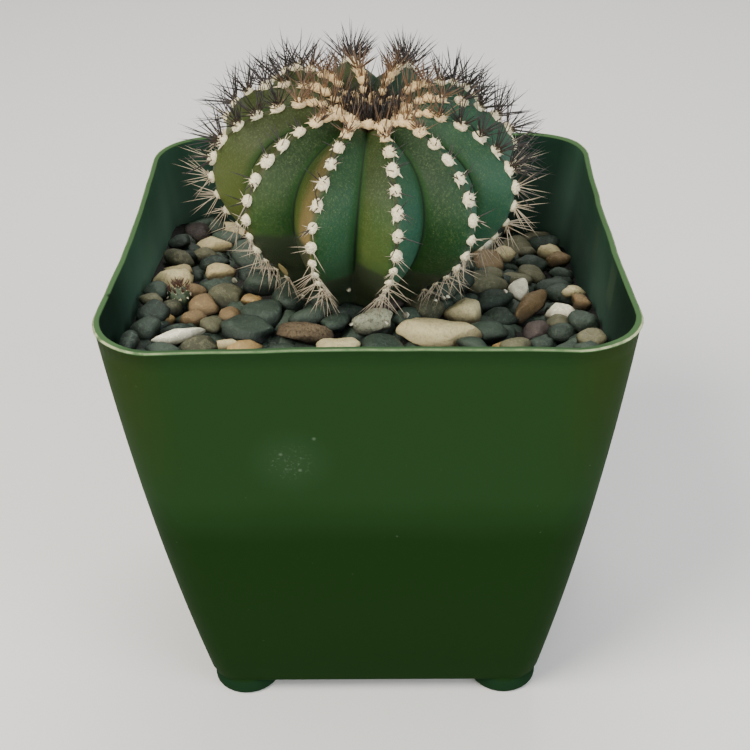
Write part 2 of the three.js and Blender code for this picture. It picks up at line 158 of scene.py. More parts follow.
# Stones that lie on the gravel: node, middle, half sizes, turn in degrees, how broken, kind
STONES = (
    ("stone_cream_large", (13.5, -23.4), (8.2, 4.4, 3), -3, 0.9, "cream"),
    ("stone_cream_wedge", (-6.2, -30.6), (4, 3, 1.9), 8, 1.0, "cream"),
    ("stone_brown_rough", (-12.8, -24.6), (5.2, 3.4, 2.4), -10, 1.0, "rough"),
    ("stone_blue_slab", (-24.6, -22.6), (5.7, 4, 2.3), -24, 0.5, "slate"),
    ("stone_white_porous", (0.9, -21.2), (4.4, 2.8, 2.4), 4, 0.8, "porous"),
    ("stone_white_long", (-38.2, -27), (5.5, 1.4, 1.4), 26, 0.4, "white"),
    ("stone_brown_long", (34, -6.8), (5.8, 2.3, 2.2), 58, 0.6, "brown"),
    ("stone_white_round", (40, -9.4), (3.1, 2.5, 2.1), 150, 0.9, "white"),
)

# Kinds of stone with their dark colour, light colour and roughness, and the slot of each kind
STONE_KINDS = {
    "slate": ((0.0085, 0.016, 0.0125), (0.053, 0.077, 0.055), 0.6),
    "grey": ((0.042, 0.047, 0.027), (0.16, 0.157, 0.09), 0.65),
    "brown": ((0.075, 0.05, 0.022), (0.21, 0.145, 0.07), 0.65),
    "purple": ((0.034, 0.026, 0.022), (0.085, 0.066, 0.058), 0.65),
    "ochre": ((0.2, 0.125, 0.042), (0.42, 0.29, 0.12), 0.6),
    "cream": ((0.42, 0.34, 0.17), (0.82, 0.72, 0.4), 0.75),
    "white": ((0.6, 0.58, 0.41), (0.92, 0.89, 0.68), 0.7),
    "rough": ((0.055, 0.038, 0.02), (0.28, 0.21, 0.125), 0.85),
    "porous": ((0.2, 0.215, 0.15), (0.57, 0.58, 0.41), 0.9),
}
KIND_SLOTS = {"slate": "blue_stone", "grey": "gravel", "brown": "brown_stone", "purple": "brown_stone",
              "ochre": "gravel", "cream": "pale_stone", "white": "pale_stone", "rough": "brown_stone",
              "porous": "pale_stone"}

# Pebbles seen in the photo: kind, middle, half length, half width, turn in degrees
PLACED = (
    ("slate", -44.8, -18.6, 3.6, 3.1, 15), ("slate", -43.8, -25.4, 3.3, 3.2, 0),
    ("ochre", -41.3, -17.5, 1.7, 1.7, 60), ("slate", -45.4, -36, 1.9, 3.3, 0),
    ("grey", -45.8, -13.2, 2.6, 2.2, 0), ("brown", -36, -16.5, 3, 2.7, 0),
    ("brown", -34.5, -10.5, 3.4, 3.8, 80), ("brown", -28.5, -15.5, 2.7, 2.3, 50),
    ("grey", -30, -6.5, 3.6, 4.4, 75), ("slate", -38, -22.5, 4.4, 2.2, 12),
    ("ochre", -25, -30.5, 4.2, 2, 4), ("cream", -28, -28.6, 3, 1.7, -25), ("grey", -33, -29, 3.8, 2.6, 10),
    ("cream", -34, 7.5, 4.2, 2.5, -6), ("cream", -42.5, 7, 3, 3.4, 30), ("slate", -36, 14.5, 3.8, 2.8, 0),
    ("grey", -44.5, 14, 4, 2.8, -30), ("cream", -38, 26.5, 5.6, 3, -16),
    ("slate", -34.5, 32, 4.6, 3.4, -20), ("cream", -34, 40, 5, 3.6, -12), ("slate", -41.5, 40, 3.8, 3.2, 0),
    ("grey", -38.5, 20.5, 3.4, 2.4, 10), ("white", 32.5, 2, 2.6, 3.7, 0), ("cream", 44.1, -0.9, 3, 2, 30),
    ("brown", 46, -8.8, 2.9, 2.3, -40), ("slate", 44.9, -16.7, 3.3, 3, 0),
    ("purple", 34.2, -17.6, 2.7, 3.5, -30), ("slate", 39.3, -18.9, 3.4, 2.6, 10),
    ("grey", 44.8, -26.1, 3.4, 3.1, -20), ("slate", 34.4, -24.3, 2.9, 2.4, 20),
    ("slate", 23.5, -20, 5.8, 2.6, 0), ("ochre", 28, -25.8, 3.8, 2, 0), ("slate", 27, -12, 3.8, 3, -10),
    ("slate", 26, -4.5, 5, 3.4, 25), ("grey", 32.1, 11.4, 4.6, 2.8, -30),
    ("slate", 40.4, 7.7, 3.9, 3.5, 10), ("slate", 37.2, 20.5, 3.8, 2.5, -8),
    ("cream", 30.8, 26.4, 2.9, 3.4, 10), ("cream", 43.9, 28.3, 3.8, 3, -8),
    ("grey", 39.6, 41.4, 4.9, 2.8, 5), ("grey", 29, -27.5, 3.4, 2.4, 0), ("slate", 45.7, 16.1, 3, 2.2, -10),
    ("grey", 36.5, 27.1, 2.3, 1.9, 0), ("slate", -12, -18.5, 4.2, 3, 10), ("slate", -33, 0.5, 4.4, 2.7, 0),
    ("ochre", -24.5, -10.2, 2.3, 2, 20), ("slate", 21, -27.8, 4, 2.2, -15),
    ("slate", -17, -31, 3.6, 2.3, 0),
)

# Seedling, and bits of litter at the foot of the cactus: a husk and crumbs of perlite
SEEDLING_AT = (-40.4, -6.4)
SEEDLING_RADIUS = 2.2
HUSK_AT = (-16.8, -19.1, 99.4)
CRUMBS_AT = ((-4, -16.6, 93.6), (-5.2, -15.8, 94), (10.4, -13.2, 94.8), (12.4, -12, 94.6),
             (28.4, -7.4, 87.6))

# Camera, fitted to the photo: place in metres, lens in millimetres, turns in degrees
CAMERA_AT = (0.0047, -0.2474, 0.2194)
CAMERA_LENS = 62.4
CAMERA_HEADING = 0.93
CAMERA_DIP = 32.38
CAMERA_ROLL = -0.99


def length(name, description, millimetres):
    return FloatProperty(name=name, description=description, default=millimetres * MM, min=0,
                         unit="LENGTH", precision=4)


def power(name, description, watts):
    return FloatProperty(name=name, description=description, default=watts, min=0, unit="POWER")


def colour(name, description, *rgb):
    return FloatVectorProperty(name=name, description=description, default=rgb, size=3,
                               subtype="COLOR", min=0, max=1)


class CactusPotSizes(bpy.types.PropertyGroup):
    """Sizes and colours of the pot"""
    rim_width: length("Rim width", "Width of the pot across its rim", 102)
    base_width: length("Base width", "Width of the pot just above its feet", 73.5)
    height: length("Height", "Height of the rim above the ground", 99.6)
    wall: length("Wall", "Thickness of the pot's wall", 1)
    belly: length("Belly", "How far each wall bulges past a straight taper", 1.2)
    rim_lip: length("Rim lip", "How far the rim stands out from the wall", 0.2)
    rim_pinch: length("Rim pinch", "How far the rim's sides are drawn in between its corners", 0.9)
    plastic: colour("Plastic", "Colour of the pot's outside", 0.0123, 0.0355, 0.0096)
    # Painted reflection: the outside's lower half is painted darker, as the table is reflected in it
    low_plastic_reflection: colour("Low plastic", "Colour of the outside's lower half", 0.0072, 0.0232, 0.0046)
    # Painted highlight: the rim's rounded outer edge is painted bright
    rim_edge_highlight: colour("Rim edge", "Colour of the rim's worn outer edge", 0.46, 0.5, 0.28)
    # Painted sheen: the rim's top face is painted pale
    rim_top_sheen: colour("Rim top", "Colour of the rim from above", 0.06, 0.12, 0.05)


class CactusGravelSizes(bpy.types.PropertyGroup):
    """Sizes and colours of the gravel"""
    level: length("Level", "Height of the gravel in the middle of the pot", 84.6)
    pebble: length("Pebble", "Half width of a large pebble", 4.4)
    small_pebble: length("Small pebble", "Half width of a small pebble", 2.6)
    seed: IntProperty(name="Seed", description="Number that sets how the pebbles fall", default=11, min=0)


class CactusPlantSizes(bpy.types.PropertyGroup):
    """Sizes and colours of the plant"""
    radius: length("Radius", "Widest radius of the plant, at the crests of its ribs", 31.4)
    furrow: FloatProperty(name="Furrow", description="Depth of the furrows as a share of the radius",
                          default=0.2, min=0, max=0.6, subtype="FACTOR")
    spine_length: length("Spine length", "Length of the long spines", 8.6)
    wool_size: length("Wool size", "Radius of a tuft of wool", 1.3)
    seed: IntProperty(name="Seed", description="Number that sets how spines and wool grow", default=7, min=0)
    skin: colour("Skin", "Green of the skin", 0.0105, 0.036, 0.0072)
    # Painted light: the warm skin stands for warm light on the flanks that face left, the cool skin for cool
    # light on those that face right
    warm_lit_skin: colour("Warm skin", "Green of the sides that the sun has tanned", 0.026, 0.0375, 0.0057)
    cool_lit_skin: colour("Cool skin", "Green of the shaded sides", 0.0195, 0.067, 0.037)
    wool: colour("Wool", "Colour of the wool on the crests", 0.98, 0.88, 0.58)


class CactusStageSizes(bpy.types.PropertyGroup):
    """Floor and light"""
    floor: colour("Floor", "Colour of the floor", 0.86, 0.85, 0.83)
    key: power("Key light", "Power of the main light", 9)
    front: power("Front light", "Power of the low light in front", 3)
    fill: power("Fill light", "Power of the fill light and of the light behind", 4.5)


class Value:
    """A number that changes over a surface, for sums written as Python expressions"""

    def __init__(self, paint, socket):
        self.paint = paint
        self.socket = socket

    def maths(self, operation, *others):
        return self.paint.node("Math", {"operation": operation}, dict(enumerate((self, *others))))

    def __add__(self, other):
        return self.maths("ADD", other)

    def __sub__(self, other):
        return self.maths("SUBTRACT", other)

    def __mul__(self, other):
        return self.maths("MULTIPLY", other)

    def __truediv__(self, other):
        return self.maths("DIVIDE", other)

    def __pow__(self, other):
        return self.maths("POWER", other)

    def __abs__(self):
        return self.maths("ABSOLUTE")

    __radd__ = __add__
    __rmul__ = __mul__


class Paint:
    """A material and its nodes"""

    def __init__(self, name, roughness=0.6, **fixed):
        self.material = bpy.data.materials.new(name)
        self.material.use_nodes = True
        self.tree = self.material.node_tree
        self.shader = self.tree.nodes["Principled BSDF"]
        for socket, value in {"Roughness": roughness, **fixed}.items():
            self.shader.inputs[socket].default_value = value

    def node(self, kind, settings, values, output=0):
        """Adds a node, gives it its settings, then the values or links of its sockets"""
        node = self.tree.nodes.new("ShaderNode" + kind)
        for name, setting in settings.items():
            if name == "stops":
                for stop, (place, shade) in zip(self.stops(node, len(setting)), setting):
                    stop.position = place
                    stop.color = shade if len(shade) == 4 else (*shade, 1)
            else:
                setattr(node, name, setting)
        for name, value in values.items():
            self.join(node.inputs[name], value)
        return Value(self, node.outputs[output])

    def stops(self, node, count):
        ramp = node.color_ramp.elements
        while len(ramp) < count:
            ramp.new(0.5)
        return ramp

    def join(self, socket, value):
        if isinstance(value, Value):
            self.tree.links.new(value.socket, socket)
        elif hasattr(value, "__len__") and len(value) == 3 and socket.type == "RGBA":
            socket.default_value = (*value, 1)
        else:
            socket.default_value = value

    def place(self):
        return self.node("TexCoord", {}, {}, "Object")

    def axes(self):
        """The place's x, y and z in millimetres"""
        split = self.node("SeparateXYZ", {}, {0: self.place()})
        outputs = split.socket.node.outputs
        return [Value(self, socket) * 1000 for socket in outputs]

    def attribute(self, name):
        return self.node("Attribute", {"attribute_name": name}, {}, "Fac")

    def noise(self, per_mm, detail=3, roughness=0.55, stretch=(1, 1, 1)):
        """Noise with features about one over per_mm wide"""
        place = self.node("Mapping", {}, {"Vector": self.place(), "Scale": [1000 * s for s in stretch]})
        return self.node("TexNoise", {}, {"Vector": place, "Scale": per_mm, "Detail": detail,
                                          "Roughness": roughness})

    def cells(self, per_mm):
        place = self.node("Mapping", {}, {"Vector": self.place(), "Scale": (1000, 1000, 1000)})
        return self.node("TexVoronoi", {}, {"Vector": place, "Scale": per_mm})

    def ramp(self, value, *stops):
        return self.node("ValToRGB", {"stops": stops}, {0: value})

    def between(self, value, low, high):
        """0 where a value is at low or under, 1 where it is at high or over"""
        return self.node("MapRange", {"clamp": True}, {"Value": value, "From Min": low, "From Max": high})

    def mix(self, one, other, share, blend="MIX"):
        return self.node("Mix", {"data_type": "RGBA", "blend_type": blend}, {0: share, 6: one, 7: other}, 2)

    def bump(self, height, depth_mm, strength=1.0):
        bump = self.node("Bump", {}, {"Height": height, "Distance": depth_mm * MM, "Strength": strength})
        self.join(self.shader.inputs["Normal"], bump)

    def set(self, **links):
        for name, value in links.items():
            self.join(self.shader.inputs[name.replace("_", " ").title()], value)
        return self.material


def finished(bm, name, material, slot, *stands_for):
    """Makes a piece of a shape in millimetres, and hides the imported parts that it stands for"""
    bmesh.ops.scale(bm, vec=(MM, MM, MM), verts=bm.verts)
    mesh = bpy.data.meshes.new(name)
    bm.to_mesh(mesh)
    bm.free()
    mesh.polygons.foreach_set("use_smooth", [True] * len(mesh.polygons))
    mesh.materials.append(material)
    piece = bpy.data.objects.new(name, mesh)
    bpy.context.scene.collection.objects.link(piece)
    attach(piece, "root")
    if stands_for:
        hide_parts(*stands_for)
    return piece


def rolled(bm, columns, rows, place):
    """A grid rolled into a tube: place(corner, u, v) sets each corner, with u once round and v along"""
    grid = bmesh.ops.create_grid(bm, x_segments=columns, y_segments=rows, size=0.5)["verts"]
    for corner in grid:
        place(corner, corner.co.x + 0.5, corner.co.y + 0.5)
    bmesh.ops.remove_doubles(bm, verts=grid, dist=1e-4)
    bmesh.ops.recalc_face_normals(bm, faces=bm.faces)


def marked(*names):
    """An empty shape whose corners hold a value under each name"""
    bm = bmesh.new()
    for name in names:
        bm.verts.layers.float.new(name)
    return bm


def template(bm):
    mesh = bpy.data.meshes.new("template")
    bm.to_mesh(mesh)
    bm.free()
    return mesh


def discard(*shapes):
    for shape in shapes:
        bpy.data.meshes.remove(shape)


def stamp(bm, shape, place, **marks):
    """Adds a copy of a small mesh at a place, with a value for each of its marks"""
    copy = shape.copy()
    copy.transform(place)
    for name, value in marks.items():
        copy.attributes[name].data.foreach_set("value", [value] * len(copy.vertices))
    bm.from_mesh(copy)
    bpy.data.meshes.remove(copy)


def pointing(foot, way, roll, width, height):
    """A place for a shape that stands on its foot along +Z, stretched and turned to a direction"""
    turn = way.to_track_quat("Z", "Y").to_matrix().to_4x4()
    size = Matrix.Diagonal((width, width, height, 1))
    return Matrix.Translation(foot) @ turn @ Matrix.Rotation(roll, 4, "Z") @ size


# Pot

def height_share(z, pot):
    return (z - FOOT_HEIGHT) / (pot.height / MM - FOOT_HEIGHT)


def pot_half(z, pot):
    """Half width of the pot's outside at a height: a straight taper with a slight belly"""
    t = height_share(z, pot)
    widths = pot.base_width + t * (pot.rim_width - 2 * pot.rim_lip - pot.base_width)
    return widths / MM / 2 + pot.belly / MM * 4 * t * (1 - t)


def square_point(u, half, corner, pinch):
    """A point on a square with round corners, whose sides are pinched in between them"""
    side, along = divmod(u * 4 % 4, 1)
    radius = min(corner, half)
    if along < CORNER_SHARE:
        angle = along / CORNER_SHARE * math.pi / 2
        x, y = half - radius + radius * math.cos(angle), half - radius + radius * math.sin(angle)
    else:
        t = (along - CORNER_SHARE) / (1 - CORNER_SHARE)
        x, y = (half - radius) * (1 - 2 * t), half - pinch * 4 * t * (1 - t)
    for _ in range(int(side)):
        x, y = -y, x
    return x, y


def arc(middle_half, middle_z, radius, start, end, steps):
    """Points of a quarter round in a pot's profile, as half width and height"""
    angles = [math.radians(start + (end - start) * i / steps) for i in range(steps + 1)]
    return [(middle_half + radius * math.cos(a), middle_z + radius * math.sin(a)) for a in angles]


def pot_profile(pot):
    """Rows of the pot from under its floor, up its outside, over the rim and down its inside"""
    top = pot.height / MM
    rim = pot.rim_width / MM / 2
    wall = pot.wall / MM
    inner = rim - pot.rim_lip / MM - wall
    base = pot_half(FOOT_HEIGHT, pot)
    low = top - LIP_HEIGHT
    rows = [(half, z, 0) for half, z in arc(base - BASE_EDGE, FOOT_HEIGHT + BASE_EDGE, BASE_EDGE, -90, 0, 5)]
    rows += [(pot_half(z, pot), z, 0) for z in spread(FOOT_HEIGHT + 2 * BASE_EDGE, low, 22)]
    rows += [(rim - RIM_ROUND / 3, low + RIM_ROUND / 6, 0.15), (rim, low + RIM_ROUND, 0.25)]
    rows += [(half, z, 0.4) for half, z in arc(rim - RIM_ROUND, top - RIM_ROUND, RIM_ROUND, 0, 90, 4)]
    rows += [((rim + inner) / 2, top, 0.5)]
    rows += [(half, z, 0.6) for half, z in arc(inner + RIM_ROUND, top - RIM_ROUND, RIM_ROUND, 90, 180, 4)]
    rows += [(pot_half(z, pot) - wall, z, 1) for z in spread(low, FOOT_HEIGHT + FLOOR + 1, 16)]
    return rows + [(base - 3, FOOT_HEIGHT + FLOOR, 1)]


def drilled_floor(bm, zone):
    """Closes the pot's floor above and below, round its drain holes"""
    holes = []
    for z, mark in ((FOOT_HEIGHT, 0), (FOOT_HEIGHT + FLOOR, 1)):
        flat = [e for e in bm.edges if e.is_boundary and all(abs(v.co.z - z) < 1e-3 for v in e.verts)]
        for x, y in DRAINS:
            ring = bmesh.ops.create_circle(bm, segments=24, radius=DRAIN_RADIUS,
                                           matrix=Matrix.Translation((x, y, z)))["verts"]
            for v in ring:
                v[zone] = mark
            loop = list({e for v in ring for e in v.link_edges})
            flat += loop
            holes.append(loop)
        bmesh.ops.triangle_fill(bm, edges=flat, use_beauty=True, normal=(0, 0, 1))
    for low, high in zip(holes, holes[len(DRAINS):]):
        bmesh.ops.bridge_loops(bm, edges=low + high)
    bmesh.ops.recalc_face_normals(bm, faces=bm.faces)


def spread(start, end, steps):
    return [start + (end - start) * i / steps for i in range(steps + 1)]


def pot_paint(pot):
    paint = Paint("pot_plastic", 0.5, **{"Specular IOR Level": 0.012})
    x, y, z = paint.axes()
    zone = paint.attribute("zone")
    # Painted reflection: below a soft line at mid height the outside is painted darker
    upper = paint.between(z + paint.noise(0.05) * 4, 53, 65)
    outside = paint.mix(tuple(pot.low_plastic_reflection), tuple(pot.plastic), upper)
    # Painted sheen: the rounded upright corners are tinted warmer and lighter on the upper part of the pot
    corner = paint.between(abs(x * y) * 2 / (x * x + y * y), 0.94, 0.995)
    outside = paint.mix(outside, (0.024, 0.033, 0.0055), corner * paint.between(z, 60, 95) * 0.45)
    # Painted shade: the feet and the foot of the wall, under the pot, are darker
    outside = paint.mix(outside, (0.008, 0.025, 0.01), paint.between(z, 4.4, 3.4))
    inside = paint.mix((0.023, 0.055, 0.035), (0.04, 0.088, 0.056), paint.noise(0.08, 2))
    # Painted light and shade inside: the walls are lighter low down and lit on the left, and darker towards
    # the front and at the back
    inside = paint.mix(inside, (0.062, 0.115, 0.085), paint.between(z, 97, 87) * 0.8)
    lit = paint.between(x, -38, -42) * paint.between(y, -30, 12)
    inside = paint.mix(inside, (2.1, 2.1, 2.1), lit, "MULTIPLY")
    inside = paint.mix(inside, (0.35, 0.35, 0.35), paint.between(y, -2, -28), "MULTIPLY")
    inside = paint.mix(inside, (0.38, 0.42, 0.42), paint.between(y, 41, 46), "MULTIPLY")
    for middle in INNER_PATCHES:
        patch = box_share(paint, (y, z), middle, (3.2, 5)) * paint.between(x, 40, 42)
        inside = paint.mix(inside, (0.09, 0.12, 0.075), patch * 0.22)
    body = paint.mix(outside, inside, paint.between(zone, 0.62, 0.75))
    # Painted sheen on the rim's top face, weaker along its outer front edge
    hidden = paint.between(y, -47.8, -49.4) * paint.between(zone, 0.42, 0.5)
    top = paint.mix(tuple(pot.rim_top_sheen), (0.02, 0.048, 0.022), hidden * 0.55)
    lip = paint.mix(body, top, paint.between(zone, 0.08, 0.25) * paint.between(zone, 0.72, 0.6))
    # Painted highlight along the rim's rounded outer edge, strongest at the corners; the real nick and
    # scuffs are added to it below
    edge = paint.ramp(zone, (0.34, (0, 0, 0)), (0.39, (1, 1, 1)), (0.405, (1, 1, 1)), (0.44, (0, 0, 0)))
    rough = edge * paint.between(paint.noise(0.5, 3), 0.25, 0.6) * (0.24 + corner * 0.76)
    worn = paint.mix(lip, tuple(pot.rim_edge_highlight), rough)
    nick = spot_share(paint, (x, y), NICK, 0.9) * paint.between(z, 98.6, 99.1)
    worn = paint.mix(worn, (0.01, 0.02, 0.01), nick)
    front = paint.between(y, -38, -42)
    scuff = spot_share(paint, (x, z), SCUFF, 5.5) * paint.between(paint.noise(1.6, 4, 0.7), 0.56, 0.7)
    scuff = scuff * front
    specks = paint.between(paint.noise(0.9, 2), 0.76, 0.8) * front
    for place in SPECKS:
        specks = specks + spot_share(paint, (x, z), place, 0.5) * front
    haze = spot_share(paint, (x, z), SCUFF, 9) * front
    worn = paint.mix(worn, (0.16, 0.22, 0.15), scuff * 0.3 + specks * 0.3 + haze * 0.04)
    paint.bump(paint.noise(0.4, 3), 0.05, 0.5)
    return paint.set(base_color=worn, roughness=0.46 + paint.noise(0.3, 4) * 0.14 + scuff * 0.2)


def spot_share(paint, axes, middle, radius):
    """1 in the middle of a round spot on a plane and 0 outside it"""
    away = ((axes[0] - middle[0]) ** 2 + (axes[1] - middle[1]) ** 2) ** 0.5
    return paint.between(away, radius, radius * 0.2)


def box_share(paint, axes, middle, half):
    """1 inside a soft-edged rectangle on a plane and 0 outside it"""
    shares = [paint.between(abs(axis - at), reach, 0.6 * reach)
              for axis, at, reach in zip(axes, middle, half)]
    return shares[0] * shares[1]


class CACTUS_OT_pot(bpy.types.Operator):
    """Builds the square pot with its rim, feet and drain holes"""
    bl_idname = "cactus.pot"
    bl_label = "Pot"

    def execute(self, context):
        pot = context.scene.cactus_pot
        bm = bmesh.new()
        zone = bm.verts.layers.float.new("zone")
        rows = pot_profile(pot)

        def place(corner, u, v):
            half, z, mark = rows[round(v * (len(rows) - 1))]
            t = height_share(z, pot)
            reach = min(half / pot_half(z, pot), 1)
            round_off = (BASE_CORNER + t * (RIM_CORNER - BASE_CORNER)) * reach
            x, y = square_point(u, half, round_off, pot.rim_pinch / MM * t * t * reach)
            if t > 0.97:
                x, y = (c * (1 + RIM_WAVER / 50 * noise.noise((x * 0.13, y * 0.13, 3))) for c in (x, y))
            corner.co = (x, y, z)
            corner[zone] = mark

        rolled(bm, 112, len(rows) - 1, place)
        drilled_floor(bm, zone)
        step = pot.base_width / MM / 2 - FOOT_INSET
        foot = [(0, 0)] + [(FOOT_RADIUS - FOOT_EDGE * (1 - math.sin(a)), FOOT_EDGE * (1 - math.cos(a)))
                           for a in spread(0, math.pi / 2, 9)]
        foot += [(FOOT_RADIUS, FOOT_HEIGHT + 0.8), (0, FOOT_HEIGHT + 0.8)]
        for x, y in ((1, 1), (-1, 1), (-1, -1), (1, -1)):
            middle = Vector((x * step, y * step, 0))

            def place_foot(corner, u, v):
                r, z = foot[round(v * (len(foot) - 1))]
                corner.co = middle + Vector((r * math.cos(math.tau * u), r * math.sin(math.tau * u), z))

            rolled(bm, 32, len(foot) - 1, place_foot)
        finished(bm, "pot_shell", pot_paint(pot), "pot_plastic", "pot")
        return {"FINISHED"}


# Gravel

def ease(value, start, end):
    """0 before the start, 1 past the end and a smooth rise between them"""
    t = min(max((value - start) / (end - start), 0), 1)
    return t * t * (3 - 2 * t)


def gravel_level(x, y, gravel):
    """Height of the gravel: heaped round the stem, against the left wall and the front of the right one"""
    from_stem = math.hypot(x - CENTRE.x - STEM.x, y - CENTRE.y - STEM.y)
    mound = math.exp(-(((from_stem - MOUND_RADIUS) / MOUND_SPREAD) ** 2))
    slope = (-0.04 * x - 0.122 * y) * (1 - MOUND_FLATNESS * mound)
    along = 1 if x < 0 else 1 - ease(y, *HEAP_ENDS)
    heap = HEAP_HEIGHT * ease(abs(x), HEAP_FROM, HEAP_TO) * along
    return gravel.level / MM + slope + MOUND_HEIGHT * mound + heap


def stone_shape(rng, facets, broken, detail=3):
    """A rounded stone one unit in radius: flats are pressed into a ball, deeper when it is broken"""
    bm = marked(*STONE_MARKS)
    ball = bmesh.ops.create_icosphere(bm, subdivisions=detail, radius=1)["verts"]
    flats = [(Vector((rng.gauss(0, 1), rng.gauss(0, 1), rng.gauss(0, 1))).normalized(),
              1 - rng.uniform(0.1, 0.22 + 0.26 * broken)) for _ in range(facets)]
    offset = Vector((rng.uniform(-50, 50), rng.uniform(-50, 50), rng.uniform(-50, 50)))
    for v in ball:
        for normal, reach in flats:
            past = v.co.dot(normal) - reach
            if past > 0:
                v.co -= normal * past * 0.88
        v.co *= 1 + 0.24 * noise.noise(v.co * 1.1 + offset) + 0.1 * broken * noise.noise(v.co * 3.2 + offset)
    rise = bm.verts.layers.float["rise"]
    for v in bm.verts:
        v[rise] = v.co.z
    return template(bm)


def stone_paint(kind):
    """One kind of stone: its tone differs from stone to stone, with clouds, grains and painted shade on its
    underside
    """
    dark, light, roughness = STONE_KINDS[kind]
    paint = Paint("stone_" + kind, roughness, **{"Specular IOR Level": 0.3})
    tone = paint.attribute("tone")
    clouds = paint.noise(0.28, 4, 0.6)
    grain = paint.noise(2.2, 3, 0.7)
    share = paint.between(tone * 0.95 + clouds * 0.6 + grain * 0.25, 0.35, 1.3)
    base = paint.mix(dark, light, share)
    if kind in ("rough", "porous", "cream"):
        pits = paint.between(paint.noise(1.5, 5, 0.75), 0.5, 0.36)
        base = paint.mix(base, tuple(0.3 * c for c in dark), pits * (0.75 if kind != "cream" else 0.35))
        depth = 0.45 if kind != "cream" else 0.2
    else:
        spots = paint.between(paint.cells(1.1), 0.28, 0.12) * paint.between(paint.noise(0.5), 0.5, 0.62)
        mottle = paint.between(paint.noise(0.7, 6, 0.75), 0.5, 0.66)
        base = paint.mix(base, tuple(1.7 * c for c in light), mottle * 0.4 + spots * 0.3)
        veins = paint.between(abs(paint.noise(0.35, 4, 0.6) - 0.5), 0.012, 0.003)
        base = paint.mix(base, tuple(2.4 * c for c in light), veins * 0.3)
        depth = 0.14
    # Painted shade: each stone's underside is darkened
    painted_underside_shade = paint.between(paint.attribute("rise"), 0.6, -0.15)
    base = paint.mix(base, tuple(0.15 * c for c in dark), painted_underside_shade * 0.9)
    paint.bump(grain + paint.noise(0.8, 4, 0.65) * 2, depth)
    return paint.set(base_color=base)


def pebble_kind(rng, x):
    """Draws a kind of pebble: there is less slate on the right"""
    roll = rng.uniform(LIGHT_ROLL if x > LIGHT_SIDE else 0, 1)
    for kind, share in (("slate", 0.54), ("grey", 0.2), ("brown", 0.1), ("purple", 0.06), ("cream", 0.055),
                        ("ochre", 0.02), ("white", 0.025)):
        roll -= share
        if roll < 0:
            return kind
    return "slate"


def inside_wall(x, y, half, turn, z, pot):
    """Moves a pebble's middle in until the pebble is clear of the pot's wall"""
    t = height_share(z, pot)
    room = pot_half(z, pot) - (pot.wall + pot.rim_pinch * t * t) / MM - 0.3
    wide = 1.06 * math.hypot(half[0] * math.cos(turn), half[1] * math.sin(turn))
    deep = 1.06 * math.hypot(half[0] * math.sin(turn), half[1] * math.cos(turn))
    x = min(max(x, wide - room), room - wide)
    y = min(max(y, deep - room), room - deep)
    corner = Vector((abs(x), abs(y))) - Vector((room - RIM_CORNER, room - RIM_CORNER))
    past = corner.length + (wide + deep) / 2 - RIM_CORNER
    if min(corner) > 0 and past > 0:
        x -= math.copysign(past * corner.x / corner.length, x)
        y -= math.copysign(past * corner.y / corner.length, y)
    return x, y


def kept_clear(x, y, half, turn):
    """Circles over a stone from end to end, so that nothing is thrown on it"""
    along = math.radians(turn)
    steps = [share * (half[0] - half[1]) for share in (-1, 0, 1)]
    return [(x + step * math.cos(along), y + step * math.sin(along), half[1]) for step in steps]


def pebble_places(gravel):
    """Pebbles where there is room: those seen in the photo, then large ones, then smaller ones"""
    rng = random.Random(gravel.seed)
    large, small = gravel.pebble / MM, gravel.small_pebble / MM
    taken = [circle for _, (x, y), half, turn, _, _ in STONES for circle in kept_clear(x, y, half, turn)]
    taken.append((*SEEDLING_AT, SEEDLING_RADIUS))
    places = []
    for kind, x, y, a, b, turn in PLACED:
        taken.extend(kept_clear(x, y, (a, b), turn))
        places.append((kind, x, y, (a, b, min(a, b) * 0.78), math.radians(turn)))
    for i in range(PEBBLE_TRIES):
        size = large + (small - large) * min(i / (0.7 * PEBBLE_TRIES), 1)
        reach = GRAVEL_REACH - size * 0.8
        x, y = rng.uniform(-1, 1) * reach, rng.uniform(-1, 1) * reach
        corner = Vector((abs(x) - GRAVEL_REACH + RIM_CORNER, abs(y) - GRAVEL_REACH + RIM_CORNER))
        if min(corner) > 0 and corner.length > RIM_CORNER - size * 0.8:
            continue
        if math.hypot(x - STEM.x, y - STEM.y) < HIP_RADIUS - 3:
            continue
        if any(math.hypot(x - ox, y - oy) < 0.86 * (size + other) for ox, oy, other in taken):
            continue
        taken.append((x, y, size))
        half = (size * rng.uniform(1.05, 1.4), size * rng.uniform(0.9, 1.1), size * rng.uniform(0.6, 0.85))
        places.append((pebble_kind(rng, x), x, y, half, rng.uniform(0, math.pi)))
    return places


